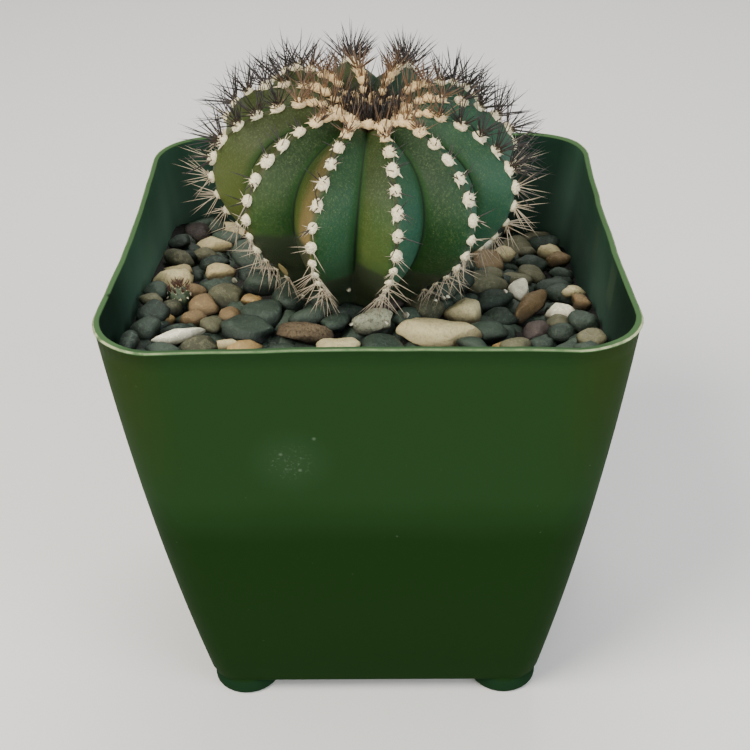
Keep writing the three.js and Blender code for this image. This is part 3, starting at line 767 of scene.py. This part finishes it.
class CACTUS_OT_gravel(bpy.types.Operator):
    """Builds the bed of grit and the pebbles on it"""
    bl_idname = "cactus.gravel"
    bl_label = "Gravel"

    def execute(self, context):
        gravel = context.scene.cactus_gravel
        pot = context.scene.cactus_pot
        bm = bmesh.new()
        bottom = SOIL_TOP + 0.3

        def place(corner, u, v):
            row = round(v * GRIT_ROWS)
            if row < 2:
                half, low = (pot_half(bottom, pot) - 1.5) * row, True
            else:
                half, low = (pot_half(84, pot) - 1.5) * (GRIT_ROWS - row) / (GRIT_ROWS - 2), False
            x, y = square_point(u, half, RIM_CORNER * 0.9 * half / 46, 0)
            rough = 0.7 * noise.noise((x * 0.5, y * 0.5, 0))
            z = bottom if low else gravel_level(x, y, gravel) - 3.6 + rough
            corner.co = (x, y, z)

        rolled(bm, 64, GRIT_ROWS, place)
        grit = Paint("grit", 0.9)
        speck = grit.between(grit.noise(1.4, 4, 0.7), 0.5, 0.75)
        grit.bump(grit.noise(1.2, 4, 0.7), 0.8)
        shade = grit.mix((0.008, 0.007, 0.005), (0.035, 0.03, 0.022), speck)
        finished(bm, "gravel_grit", grit.set(base_color=shade), "gravel", "gravel_bed")

        rng = random.Random(gravel.seed + 1)
        heaps = {}
        for kind, x, y, half, turn in pebble_places(gravel):
            if kind not in heaps:
                heaps[kind] = marked(*STONE_MARKS)
            broken = {"cream": 1, "white": 0.9, "brown": 0.6, "ochre": 0.5}.get(kind, 0.2)
            z = gravel_level(x, y, gravel) - half[2] * 0.75 + rng.uniform(-0.7, 0.7)
            x, y = inside_wall(x, y, half, turn, z - half[2] * 0.3, pot)
            self.drop(heaps[kind], rng, (x, y, z), half, turn, 0.25, broken, 3)
        lower = marked(*STONE_MARKS)
        for _ in range(UNDER_PEBBLES):
            x, y = rng.uniform(-47, 47), rng.uniform(-47, 47)
            if math.hypot(x - STEM.x, y - STEM.y) < HIP_RADIUS - 4:
                continue
            size, turn = rng.uniform(2.4, 3.8), rng.uniform(0, 3.1)
            z = gravel_level(x, y, gravel) - size - rng.uniform(0.6, 1.6)
            half = (size * 1.3, size, size * 0.8)
            x, y = inside_wall(x, y, half, turn, z - size, pot)
            self.drop(lower, rng, (x, y, z), half, turn, 0.4, 0.4, 2)
        heaps["under"] = lower
        for kind, heap in heaps.items():
            paint = stone_paint("slate" if kind == "under" else kind)
            finished(heap, "pebbles_" + kind, paint, "gravel")
        return {"FINISHED"}

    def drop(self, heap, rng, at, half, turn, tilt, broken, detail):
        shape = stone_shape(rng, 8, broken, detail)
        lean = Euler((rng.uniform(-tilt, tilt), rng.uniform(-tilt, tilt), turn)).to_matrix().to_4x4()
        lie = Matrix.Translation(at) @ lean @ Matrix.Diagonal((*half, 1))
        # Pebbles right of the light side's x get lighter tones, partly as painted light
        stamp(heap, shape, lie, tone=rng.uniform(LIGHT_TONE if at[0] > LIGHT_SIDE else 0, 1))
        discard(shape)


class CACTUS_OT_stones(bpy.types.Operator):
    """Builds the larger stones that lie on the gravel"""
    bl_idname = "cactus.stones"
    bl_label = "Stones"

    def execute(self, context):
        gravel = context.scene.cactus_gravel
        for i, (node, (x, y), half, turn, broken, kind) in enumerate(STONES):
            rng = random.Random(20 + i)
            bm = marked(*STONE_MARKS)
            shape = stone_shape(rng, 12, broken * 0.6, 4)
            z = gravel_level(x, y, gravel) - half[2] * 0.35
            lie = Matrix.Translation((x, y, z)) @ Matrix.Rotation(math.radians(turn), 4, "Z")
            stamp(bm, shape, lie @ Matrix.Diagonal((*(1.08 * h for h in half), 1)), tone=0.6)
            discard(shape)
            finished(bm, node + "_lying", stone_paint(kind), KIND_SLOTS[kind], node)
        return {"FINISHED"}


# Cactus

def rib_angle(rib):
    return math.radians(FIRST_RIB + rib * 360 / RIBS + RIB_SHIFTS[int(rib) % RIBS])


def crest_line(radius):
    """The crest of a rib from the gravel to the shoulder, as points with the length of the crest so far"""
    points = []
    for i in range(CREST_STEPS + 1):
        angle = (i / CREST_STEPS - 0.5) * math.pi
        width = max(math.cos(angle), 0)
        rise = math.sin(angle)
        if angle < 0:
            at = Vector((HIP_RADIUS + (radius - HIP_RADIUS) * width ** HIP_POWER, HIP_DEPTH * rise))
        else:
            at = Vector((SHOULDER_RADIUS + (radius - SHOULDER_RADIUS) * width, SHOULDER_HEIGHT * rise))
        run = points[-1][0] + (at - points[-1][1]).length if points else 0
        points.append((run, at))
    return points


def on_crest(line, t):
    """The place on a crest at a share of its length, and the way along it"""
    run = min(max(t, 0), 1) * line[-1][0]
    i = next(k for k in range(1, len(line)) if line[k][0] >= run or k == len(line) - 1)
    (start, one), (end, other) = line[i - 1], line[i]
    share = (run - start) / max(end - start, 1e-9)
    return one.lerp(other, share), (other - one).normalized()


def areole(line, rib, t, lift=0.0):
    """Foot, outward, upward and sideways directions of a place on a crest, in the pot's frame"""
    at, along = on_crest(line, t)
    angle = rib_angle(rib)
    out = Vector((math.sin(angle), -math.cos(angle), 0))
    side = Vector((math.cos(angle), math.sin(angle), 0))
    normal = Vector((along.y, -along.x))
    turn = CACTUS_PLACE.to_3x3()
    foot = CACTUS_PLACE @ (out * (at.x + normal.x * lift) + Vector((0, 0, at.y + normal.y * lift)))
    return (foot, turn @ (out * normal.x + Vector((0, 0, normal.y))),
            turn @ (out * along.x + Vector((0, 0, along.y))), turn @ side)


def crown_drop(share):
    """How far the crown has sunk at a share of the shoulder's radius: 0 at the shoulder, 1 in the middle"""
    return math.cos(share * math.pi / 2) ** 2


def notch(radius, z):
    """How far the furrows fall below the crests, which parts the ribs round the crown"""
    if z < 0:
        return 0
    if radius < SHOULDER_RADIUS:
        return CROWN_NOTCH * (radius / SHOULDER_RADIUS)
    return CROWN_NOTCH * (z / SHOULDER_HEIGHT) ** 3


def crown_place(plant, rib, turn, share, lift=0.0):
    """Like areole, for a place in the crown: turn is 0 on a crest and 0.5 in the furrow after it"""
    step = rib_angle(rib + 1) - rib_angle(rib) if rib + 1 < RIBS else math.tau / RIBS
    angle = rib_angle(rib) + turn * step
    deep = 1 - abs(1 - 2 * turn)
    spoke = Vector((math.sin(angle), -math.cos(angle), 0))
    side = Vector((math.cos(angle), math.sin(angle), 0))
    radius = share * SHOULDER_RADIUS
    z = SHOULDER_HEIGHT - CROWN_DEPTH * crown_drop(share) - notch(radius, SHOULDER_HEIGHT) * deep + lift
    foot = CACTUS_PLACE @ (spoke * radius * (1 - 1.3 * plant.furrow * deep) + Vector((0, 0, z)))
    turned = CACTUS_PLACE.to_3x3()
    inward = 0.5 * (1 - share)
    return (foot, turned @ (Vector((0, 0, 1)) - spoke * inward).normalized(),
            turned @ (-spoke - Vector((0, 0, inward))).normalized(), turned @ side)


def areole_share(index):
    return (index + 0.5) / AREOLES


def skin_paint(plant):
    """Olive as painted warm light on the left flanks and cool green as painted cool light on the right ones,
    with a painted lit streak, painted light and shade low down, painted shade in the furrows, and specks
    """
    paint = Paint("cactus_skin", 0.5, **{"Specular IOR Level": 0.25})
    sun, depth, up, tanned, clean = (paint.attribute(name) for name in SKIN_MARKS)
    clouds = paint.noise(0.22, 4, 0.6)
    # Painted light: flanks that face the plant's left get the warm colour, those facing right the cool one
    warm = paint.between(sun + clouds * 0.4, 0.15, 0.65)
    cool = paint.between(clouds * 0.3 - sun, 0.25, 0.9)
    green = paint.mix(tuple(plant.skin), tuple(plant.warm_lit_skin), warm)
    green = paint.mix(green, tuple(plant.cool_lit_skin), cool)
    # Painted light: a lit streak on the flank that faces the warm light most
    lit_streak = tanned * paint.between(depth + clouds * 0.2, 0.72, 0.45) * paint.between(up, 0.95, 0.8)
    green = paint.mix(green, (0.085, 0.06, 0.018), lit_streak * 0.75)
    # Painted light: the lower body is brightened, most on the warm flanks
    low_light = paint.between(up, 0.72, 0.4)
    green = paint.mix(green, (1.7, 1.8, 2.2), low_light, "MULTIPLY")
    green = paint.mix(green, (2.05, 1.75, 2), low_light * paint.between(warm, 0, 0.5), "MULTIPLY")
    # Painted shade darkens the dim flanks
    green = paint.mix(green, (0.62, 0.74, 0.72), paint.between(tanned, 0, -1), "MULTIPLY")
    specks = paint.between(paint.cells(1.9), 0.32, 0.14) * paint.between(paint.noise(0.4, 3), 0.36, 0.6)
    dots = paint.between(paint.noise(2.4, 4, 0.75, (1, 1, 0.6)), 0.5, 0.7)
    green = paint.mix(green, (0.13, 0.18, 0.065), specks * 0.36 + dots * 0.3)
    # Painted shade deep in the furrows, darkest along their floor
    green = paint.mix(green, (0.007, 0.045, 0.003), paint.between(depth, 0.75, 0.92) * 0.65)
    green = paint.mix(green, (0.003, 0.01, 0.002), paint.between(depth, 0.93, 0.99) * 0.88)
    green = paint.mix(green, (0.05, 0.042, 0.02), paint.between(depth, 0.1, 0.0) * 0.6)
    # Painted shadow: the lower body is darker below a line that differs from flank to flank
    green = paint.mix(green, (0.036, 0.05, 0.027), paint.between(clean + clouds * 0.03, 0.015, -0.015) * 0.9)
    green = paint.mix(green, (0.045, 0.028, 0.013), paint.between(up, 1.03, 1.1))
    paint.bump(paint.noise(2.6, 4, 0.7) + clouds, 0.12)
    rough = 0.45 + specks * 0.2 + paint.between(depth, 0.8, 0.97) * 0.35
    return paint.set(base_color=green, roughness=rough)


class CACTUS_OT_body(bpy.types.Operator):
    """Builds the ribbed body of the cactus and its stem in the soil"""
    bl_idname = "cactus.body"
    bl_label = "Cactus body"

    def execute(self, context):
        plant = context.scene.cactus_plant
        line = crest_line(plant.radius / MM)
        rows = [(r, z, fold, 0) for r, z, fold in NECK]
        for i in range(BODY_ROWS + 1):
            at, _ = on_crest(line, i / BODY_ROWS)
            bead = math.cos(math.tau * (i / BODY_ROWS * AREOLES - 0.5)) * 0.22
            rows.append((at.x, at.y, min(0.55 + i / 20, 1), i / BODY_ROWS, bead))
        for share in (0.94, 0.86, 0.76, 0.64, 0.5, 0.36, 0.18, 0):
            z = SHOULDER_HEIGHT - CROWN_DEPTH * crown_drop(share)
            rows.append((SHOULDER_RADIUS * share, z, 1.3, 1 + (1 - share) * 0.3))
        bm = marked(*SKIN_MARKS)
        marks = [bm.verts.layers.float[name] for name in SKIN_MARKS]

        def place(corner, u, v):
            radius, z, fold, up, *bead = rows[round(v * (len(rows) - 1))]
            step = round(u * RIBS * RIB_COLUMNS)
            rib, part = divmod(step, RIB_COLUMNS)
            start, end = rib_angle(rib), rib_angle(rib + 1)
            t = part / RIB_COLUMNS
            t = t - 0.055 * math.sin(math.tau * 2 * t) / 2
            angle = start + (end - start) * t
            deep = 1 - abs(1 - 2 * t)
            fall = math.hypot(deep, 0.045) - 0.045
            reach = radius * (1 - plant.furrow * fold * fall ** 1.12)
            reach += (bead[0] if bead else 0) * max(1 - deep * 5, 0)
            fallen = z - notch(radius, z) * deep
            corner.co = CACTUS_PLACE @ Vector((reach * math.sin(angle), -reach * math.cos(angle), fallen))
            lean = -1 if t > 0.5 else 1
            turned = angle + lean * math.radians(62) * min(deep * 8, 1)
            # How much painted warm light or painted shade the flank gets
            tanned = LIT_AND_DIM_FLANKS.get((rib, round(t)), 0)
            # How far a flank faces the warm light on the plant's left, which the skin paints as warm and
            # cool light
            sun = -(math.sin(turned) + math.sin(angle)) / 2 - SHADED_FLANKS.get((rib, round(t)), 0)
            # How far a place lies above the painted shadow low on the body
            clean = up - SHADOW_TOP_FLANKS.get((rib, round(t)), SHADOW_TOP)
            for mark, value in zip(marks, (sun, deep, up, tanned, clean)):
                corner[mark] = value

        rolled(bm, RIBS * RIB_COLUMNS, len(rows) - 1, place)
        finished(bm, "cactus_body", skin_paint(plant), "cactus_flesh", "cactus")
        return {"FINISHED"}


def lock_shape(sides, bend, widths):
    """A lock, hair or spine one unit long on its foot, as wide at each ring as given, with a pointed tip"""
    bm = marked(*HAIR_MARKS)
    along = bm.verts.layers.float["along"]
    bmesh.ops.create_circle(bm, segments=sides, radius=1)
    edges = list(bm.edges)
    bmesh.ops.contextual_create(bm, geom=edges)
    middle, before = Vector(), 1
    for i, width in enumerate((*widths, 0.1), 1):
        t = i / (len(widths) + 1)
        made = bmesh.ops.extrude_edge_only(bm, edges=edges)["geom"]
        ring = [v for v in made if isinstance(v, bmesh.types.BMVert)]
        new = set(ring)
        edges = [e for e in made if isinstance(e, bmesh.types.BMEdge) and new.issuperset(e.verts)]
        after = Vector((bend * t * t, 0, t))
        for v in ring:
            v.co = after + (v.co - middle) * (width / before)
            v[along] = t
        middle, before = after, width
    bmesh.ops.pointmerge(bm, verts=ring, merge_co=middle)
    bmesh.ops.recalc_face_normals(bm, faces=bm.faces)
    return template(bm)


def wool_paint(plant):
    paint = Paint("wool", 0.9, **{"Sheen Weight": 0.3})
    along, crown = paint.attribute("along"), paint.attribute("crown")
    pale = tuple(plant.wool)
    ginger = paint.mix(pale, (0.95, 0.62, 0.25), paint.between(crown, 0.25, 0.68) * 0.85)
    # Painted shade: darker patches between the strands, and a darkened foot on each lock
    shade = paint.mix(ginger, (0.5, 0.38, 0.22), paint.between(paint.noise(1.8, 3), 0.48, 0.7) * 0.5)
    low = paint.mix(shade, (0.2, 0.13, 0.065), 0.7)
    paint.bump(paint.noise(3, 3, 0.7), 0.35)
    return paint.set(base_color=paint.mix(low, shade, paint.between(along, 0.0, 0.35)))


class CACTUS_OT_wool(bpy.types.Operator):
    """Builds the tufts of wool on the crests and in the crown"""
    bl_idname = "cactus.wool"
    bl_label = "Wool"

    def execute(self, context):
        plant = context.scene.cactus_plant
        rng = random.Random(plant.seed)
        line = crest_line(plant.radius / MM)
        size = plant.wool_size / MM
        hairs = [lock_shape(4, bend, HAIR) for bend in (0.0, 0.15, -0.2)]
        clumps = [lock_shape(5, bend, CLUMP) for bend in (0.0, 0.2, -0.25)]
        tails = [lock_shape(5, bend, TAIL) for bend in (0.1, -0.15)]
        pads = [self.pad(rng) for _ in range(5)]
        shapes = (pads, clumps, tails, hairs)
        bm = marked(*HAIR_MARKS)
        for rib in range(RIBS):
            for index in range(AREOLES):
                t = areole_share(index)
                grow = size * (0.5 + 0.64 * min(t * 1.8, 1)) * rng.uniform(0.85, 1.12)
                self.tuft(bm, rng, shapes, areole(line, rib, t), grow, t)
        finished(bm, "wool_tufts", wool_paint(plant), "cactus_flesh")
        crown = marked(*HAIR_MARKS)
        for rib in range(RIBS):
            for turn, share, lift, grow in CROWN_TUFTS:
                behind = turn > 0 and math.cos(rib_angle(rib)) < 0
                grow *= 0.85 if behind else 1
                place = crown_place(plant, rib, turn, share, lift * (0.3 if behind else 1))
                self.tuft(crown, rng, shapes, place, size * grow * rng.uniform(0.9, 1.15), 0.9 + 0.1 * share)
        finished(crown, "crown_wool", wool_paint(plant), "cactus_flesh")
        discard(*hairs, *clumps, *tails, *pads)
        return {"FINISHED"}

    def tuft(self, bm, rng, shapes, place, grow, t):
        """A soft pad ragged with clumps of wool and fine hairs, with tails down the flanks near the crown"""
        pads, clumps, tails, hairs = shapes
        foot, out, up, side = place
        crown = max(t - 0.72, 0) * 2.4
        pad = Matrix.Translation(foot) @ Matrix((side, up, out)).transposed().to_4x4()
        stamp(bm, rng.choice(pads), pad @ Matrix.Diagonal((grow * 0.78, grow * 0.98, grow * 0.6, 1)),
              along=0.4, crown=crown)

        def lock(kinds, flat, rise, width, reach, start=foot):
            shape = rng.choice(kinds)
            way = (flat + out * rise).normalized()
            lie = pointing(start - out * 0.15, way, rng.uniform(0, 6.3), width, reach)
            stamp(bm, shape, lie, crown=crown)

        for k in range(TUFT_CLUMPS):
            angle = math.tau * 2 * (k + rng.uniform(-0.45, 0.45)) / TUFT_CLUMPS
            flat = side * math.cos(angle) + up * math.sin(angle) * 1.2
            rise, reach = rng.uniform(0.8, 2.8), rng.uniform(0.75, 1)
            if k < TUFT_CLUMPS / 2:
                rise, reach = rng.uniform(0.15, 0.6), rng.uniform(0.75, 1.02)
            lock(clumps, flat, rise, grow * rng.uniform(0.2, 0.32), grow * reach)
        for _ in range(TUFT_HAIRS):
            angle = rng.uniform(0, math.tau)
            flat = side * math.cos(angle) + up * math.sin(angle) * 1.2
            lock(hairs, flat, rng.uniform(0.1, 2), grow * 0.05, grow * rng.uniform(0.9, 1.25))
        if t > 0.62:
            for lean in (-1, 1):
                start = foot + side * lean * rng.uniform(0.3, 0.5) * grow
                lock(tails, side * lean * rng.uniform(0.2, 0.7) - up, 0.12, grow * 0.16,
                     grow * rng.uniform(1.0, 1.6), start)

    def pad(self, rng):
        bm = marked(*HAIR_MARKS)
        ball = bmesh.ops.create_icosphere(bm, subdivisions=2, radius=1)["verts"]
        for v in ball:
            v.co *= 1 + 0.3 * noise.noise(v.co * 1.6 + Vector((rng.random() * 40, 0, 0)))
        return template(bm)


def spine_paint(name, foot, middle, tip):
    paint = Paint(name, 0.5)
    along = paint.attribute("along")
    grain = paint.between(paint.noise(1.2, 2), 0.3, 0.75)
    shade = paint.ramp(along, (0.0, foot), (0.35, middle), (1.0, tip))
    return paint.set(base_color=paint.mix(shade, tuple(0.6 * c for c in middle), grain * 0.35))


class CACTUS_OT_spines(bpy.types.Operator):
    """Builds the dark spines of the upper crests, the pale ones below and the brown ones in the crown"""
    bl_idname = "cactus.spines"
    bl_label = "Spines"

    def execute(self, context):
        plant = context.scene.cactus_plant
        rng = random.Random(plant.seed + 1)
        line = crest_line(plant.radius / MM)
        long = plant.spine_length / MM
        shapes = [lock_shape(5, bend, SPINE) for bend in (0.0, 0.06, -0.08)]
        dark, pale, brown, short = (marked(*HAIR_MARKS) for _ in range(4))

        def grow(heap, foot, way, width, reach):
            shape = rng.choice(shapes)
            stamp(heap, shape, pointing(foot, way.normalized(), rng.uniform(0, 6.3), width, reach), crown=0)

        for rib in range(RIBS):
            worn = math.cos(rib_angle(rib)) > WORN_FRONT
            for index in range(AREOLES):
                t = areole_share(index)
                foot, out, up, side = areole(line, rib, t, 0.3)
                count = 9 if t < 0.3 else 4 if worn and t < 0.9 else 11 if t < 0.56 else 20
                for _ in range(count):
                    across, rise = rng.uniform(-1.25, 1.25), rng.uniform(-1, 1.1)
                    low = max(0.48 - t, 0)
                    way = out + side * across * (1 + low * 1.6) + up * (rise - low * 2)
                    reach = long * rng.uniform(0.72, 1.1) * (1 if 0.3 < t < 0.85 else 0.8)
                    if worn and t > 0.3:
                        reach *= rng.uniform(0.4, 0.75)
                    mixed = t + rng.uniform(-0.06, 0.06)
                    heap, thick = pale, 0.085
                    if mixed > 0.52:
                        heap, thick = dark, 0.125
                    if mixed > 0.93:
                        heap, thick = brown, 0.11
                    root = foot + side * rng.uniform(-0.5, 0.5) + up * rng.uniform(-0.6, 0.6) - out * 0.3
                    grow(heap, root, way, thick, reach)
                for _ in range(4):
                    angle = rng.uniform(0, math.tau)
                    way = side * math.cos(angle) + up * math.sin(angle) + out * 0.35
                    grow(short, foot, way, 0.055, rng.uniform(1.6, 2.7))
            for share in CROWN_SHARES:
                foot, out, up, side = crown_place(plant, rib, 0, share)
                in_front = foot.y < CENTRE.y - 4 and abs(foot.x - CENTRE.x) < 7
                for _ in range(3 if in_front else 9):
                    way = (out * rng.uniform(1, 1.6) + side * rng.uniform(-0.6, 0.6)
                           - up * rng.uniform(-0.2, 0.9) * share)
                    if way.y < -0.3 * way.length and rng.random() < 0.6:
                        continue
                    heap = dark if rng.random() < 2.2 - share * 3 else brown
                    grow(heap, foot + side * rng.uniform(-0.4, 0.4), way, rng.uniform(0.08, 0.12),
                         long * rng.uniform(0.4, 0.75 if heap is dark else 0.9))
        turn = CACTUS_PLACE.to_3x3()
        for _ in range(CROWN_SPINES):
            angle, share = rng.uniform(0, math.tau), 0.44 * rng.random() ** 0.5
            spoke = Vector((math.sin(angle), -math.cos(angle), 0))
            foot = spoke * share * SHOULDER_RADIUS
            foot.z = SHOULDER_HEIGHT - CROWN_DEPTH * crown_drop(share)
            loose = Vector((rng.uniform(-0.14, 0.14), rng.uniform(-0.14, 0.14), 0))
            way = turn @ (spoke * 0.4 * share + Vector((0, 0, 1)) + loose)
            reach = long * (rng.uniform(0.4, 0.78) if rng.random() < 0.85 else rng.uniform(0.7, 0.95))
            heap = dark if rng.random() < 0.93 else brown
            grow(heap, CACTUS_PLACE @ foot, way, rng.uniform(0.08, 0.12), reach)
        for heap, name, foot, middle, tip in (
                (dark, "dark_spines", (0.1, 0.06, 0.035), (0.025, 0.02, 0.018), (0.01, 0.009, 0.01)),
                (pale, "pale_spines", (0.6, 0.5, 0.35), (0.5, 0.42, 0.3), (0.22, 0.18, 0.12)),
                (brown, "crown_spines", (0.42, 0.25, 0.11), (0.2, 0.115, 0.06), (0.045, 0.032, 0.024)),
                (short, "short_spines", (0.8, 0.7, 0.52), (0.75, 0.66, 0.5), (0.5, 0.4, 0.28))):
            finished(heap, name, spine_paint(name, foot, middle, tip), "cactus_flesh")
        discard(*shapes)
        return {"FINISHED"}


class CACTUS_OT_seedling(bpy.types.Operator):
    """Builds the seedling that has come up among the pebbles"""
    bl_idname = "cactus.seedling"
    bl_label = "Seedling"

    def execute(self, context):
        gravel = context.scene.cactus_gravel
        rng = random.Random(5)
        middle = Vector((*SEEDLING_AT, gravel_level(*SEEDLING_AT, gravel) - 0.4))
        bm = bmesh.new()
        ball = bmesh.ops.create_icosphere(bm, subdivisions=4, radius=SEEDLING_RADIUS * 1.05)["verts"]
        for v in ball:
            taper = 1 - abs(v.co.z) / SEEDLING_RADIUS / 1.05
            v.co *= 1 + 0.05 * math.cos(8 * math.atan2(v.co.y, v.co.x)) * taper
            v.co += middle
        skin = Paint("seedling_skin", 0.5)
        skin.bump(skin.noise(3, 3), 0.1)
        green = skin.mix((0.045, 0.075, 0.038), (0.12, 0.16, 0.09), skin.noise(1.5, 3))
        finished(bm, "seedling_body", skin.set(base_color=green), "seedling_flesh", "seedling")
        bristles, tufts = marked(*HAIR_MARKS), marked(*HAIR_MARKS)
        shapes = [lock_shape(4, bend, HAIR) for bend in (0.0, 0.15)]
        for row, count in ((0.15, 9), (0.75, 8), (1.25, 5), (1.57, 1)):
            for k in range(count):
                angle = math.tau * (k + row) / count
                flat = math.cos(row)
                way = Vector((math.cos(angle) * flat, math.sin(angle) * flat, math.sin(row)))
                foot = middle + way * SEEDLING_RADIUS
                for _ in range(10):
                    loose = Vector([rng.uniform(-0.8, 0.8) for _ in range(3)])
                    hair = pointing(foot, (way + loose).normalized(), 0, 0.09, rng.uniform(0.4, 0.7))
                    stamp(tufts, shapes[0], hair, crown=0)
                    if row > 0.5:
                        lift = (way + loose * 0.6 + Vector((0, 0, 0.4))).normalized()
                        shape = rng.choice(shapes)
                        bristle = pointing(foot, lift, rng.uniform(0, 6.3), 0.1, rng.uniform(1.5, 2.6))
                        stamp(bristles, shape, bristle, crown=0)
        paint = spine_paint("seedling_bristles", (0.35, 0.18, 0.1), (0.16, 0.08, 0.05), (0.06, 0.04, 0.03))
        finished(bristles, "seedling_bristles", paint, "seedling_flesh")
        finished(tufts, "seedling_wool", wool_paint(context.scene.cactus_plant), "seedling_flesh")
        discard(*shapes)
        return {"FINISHED"}


class CACTUS_OT_litter(bpy.types.Operator):
    """Builds the husk against the stem and the crumbs of perlite"""
    bl_idname = "cactus.litter"
    bl_label = "Litter"

    def execute(self, context):
        gravel = context.scene.cactus_gravel
        rng = random.Random(9)
        husk = bmesh.new()
        for v in bmesh.ops.create_icosphere(husk, subdivisions=3, radius=1)["verts"]:
            v.co.x *= 1 - 0.5 * v.co.z ** 2
            v.co.y += 0.5 * v.co.x ** 2
        lie = Matrix.Translation(HUSK_AT) @ Euler((0.5, -0.12, -0.6)).to_matrix().to_4x4()
        bmesh.ops.transform(husk, matrix=lie @ Matrix.Diagonal((0.85, 0.2, 2.1, 1)), verts=husk.verts)
        paint = Paint("husk", 0.7)
        paint.bump(paint.noise(1.5, 3), 0.15)
        shade = paint.mix((0.14, 0.11, 0.04), (0.36, 0.29, 0.12), paint.noise(0.7, 4))
        finished(husk, "husk_flake", paint.set(base_color=shade), "cactus_flesh")
        crumbs = marked(*STONE_MARKS)
        places = [(Vector(at), 0.55) for at in CRUMBS_AT]
        for _ in range(16):
            angle, away = rng.uniform(0, math.tau), rng.uniform(18, 30)
            x, y = away * math.cos(angle), away * math.sin(angle)
            places.append((Vector((x, y, gravel_level(x, y, gravel) - 0.2)), rng.uniform(0.35, 0.7)))
        for at, size in places:
            shape = stone_shape(rng, 7, 1, 2)
            turn = Euler([rng.uniform(0, 3) for _ in range(3)]).to_matrix().to_4x4()
            lie = Matrix.Translation(at) @ turn @ Matrix.Diagonal((size * 1.3, size, size, 1))
            stamp(crumbs, shape, lie, tone=1)
            discard(shape)
        finished(crumbs, "perlite_crumbs", stone_paint("white"), "pale_stone")
        return {"FINISHED"}


class CACTUS_OT_soil(bpy.types.Operator):
    """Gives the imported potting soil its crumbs"""
    bl_idname = "cactus.soil"
    bl_label = "Soil"

    def execute(self, context):
        soil = Paint("potting_soil", 0.95)
        crumbs = soil.between(soil.noise(0.9, 5, 0.7), 0.35, 0.7)
        white = soil.between(soil.cells(0.35), 0.16, 0.1)
        soil.bump(soil.noise(0.8, 5, 0.7), 0.6)
        base = soil.mix((0.01, 0.007, 0.004), (0.06, 0.04, 0.024), crumbs)
        base = soil.mix(base, (0.6, 0.58, 0.52), white)
        material = soil.set(base_color=base)
        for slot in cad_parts["potting_soil"].material_slots:
            slot.material = material
        return {"FINISHED"}


class CACTUS_OT_stage(bpy.types.Operator):
    """Builds the floor, the lights and the camera"""
    bl_idname = "cactus.stage"
    bl_label = "Stage"

    def execute(self, context):
        stage = context.scene.cactus_stage
        bm = bmesh.new()
        bmesh.ops.create_circle(bm, segments=96, radius=6, cap_ends=True)
        mesh = bpy.data.meshes.new("floor")
        bm.to_mesh(mesh)
        bm.free()
        floor = bpy.data.objects.new("floor", mesh)
        paint = Paint("floor", 0.8)
        mesh.materials.append(paint.set(base_color=tuple(stage.floor)))
        context.scene.collection.objects.link(floor)

        world = bpy.data.worlds.new("studio")
        world.use_nodes = True
        world.node_tree.nodes["Background"].inputs["Color"].default_value = (0.95, 0.95, 1, 1)
        world.node_tree.nodes["Background"].inputs["Strength"].default_value = 0.35
        context.scene.world = world
        self.light("key", (-0.45, -0.4, 0.75), 0.45, stage.key, (1, 0.94, 0.85))
        self.light("fill", (0.6, -0.5, 0.45), 0.6, stage.fill, (0.85, 0.93, 1))
        self.light("front", (-0.08, -0.75, 0.3), 0.5, stage.front, (1, 0.97, 0.9))
        self.light("top", (0.05, 0.5, 0.8), 0.5, stage.fill, (1, 0.98, 0.95))

        camera = bpy.data.cameras.new("camera")
        camera.lens = CAMERA_LENS
        camera.sensor_width = 36
        camera.clip_start = 0.01
        view = bpy.data.objects.new("camera", camera)
        turn = (Matrix.Rotation(math.radians(CAMERA_HEADING), 4, "Z")
                @ Matrix.Rotation(math.radians(90 - CAMERA_DIP), 4, "X")
                @ Matrix.Rotation(math.radians(CAMERA_ROLL), 4, "Z"))
        view.matrix_world = Matrix.Translation(CAMERA_AT) @ turn
        context.scene.collection.objects.link(view)
        context.scene.camera = view
        return {"FINISHED"}

    def light(self, name, at, size, watts, tint):
        lamp = bpy.data.lights.new(name, "AREA")
        lamp.shape = "DISK"
        lamp.size = size
        lamp.energy = watts
        lamp.color = tint
        thing = bpy.data.objects.new(name, lamp)
        thing.location = at
        thing.rotation_euler = (Vector(at) - Vector((0, 0, 0.09))).to_track_quat("Z", "Y").to_euler()
        bpy.context.scene.collection.objects.link(thing)


STEPS = (CACTUS_OT_pot, CACTUS_OT_soil, CACTUS_OT_gravel, CACTUS_OT_stones, CACTUS_OT_body, CACTUS_OT_wool,
         CACTUS_OT_spines, CACTUS_OT_seedling, CACTUS_OT_litter, CACTUS_OT_stage)
GROUPS = {"cactus_pot": CactusPotSizes, "cactus_gravel": CactusGravelSizes, "cactus_plant": CactusPlantSizes,
          "cactus_stage": CactusStageSizes}


class CACTUS_PT_panel(bpy.types.Panel):
    """Lists the sizes, the colours and the steps"""
    bl_label = "Potted cactus"
    bl_space_type = "VIEW_3D"
    bl_region_type = "UI"
    bl_category = "Cactus"

    def draw(self, context):
        for name in GROUPS:
            box = self.layout.box()
            group = getattr(context.scene, name)
            for prop in group.__annotations__:
                box.prop(group, prop)
        for step in STEPS:
            self.layout.operator(step.bl_idname)


CLASSES = (*GROUPS.values(), *STEPS, CACTUS_PT_panel)


def register():
    for cls in CLASSES:
        bpy.utils.register_class(cls)
    for name, group in GROUPS.items():
        setattr(bpy.types.Scene, name, PointerProperty(type=group))


def unregister():
    for name in GROUPS:
        delattr(bpy.types.Scene, name)
    for cls in reversed(CLASSES):
        bpy.utils.unregister_class(cls)


def main():
    register()
    bpy.ops.cactus.pot()
    bpy.ops.cactus.soil()
    bpy.ops.cactus.gravel()
    bpy.ops.cactus.stones()
    bpy.ops.cactus.body()
    bpy.ops.cactus.wool()
    bpy.ops.cactus.spines()
    bpy.ops.cactus.seedling()
    bpy.ops.cactus.litter()
    bpy.ops.cactus.stage()


if __name__ == "__main__":
    main()
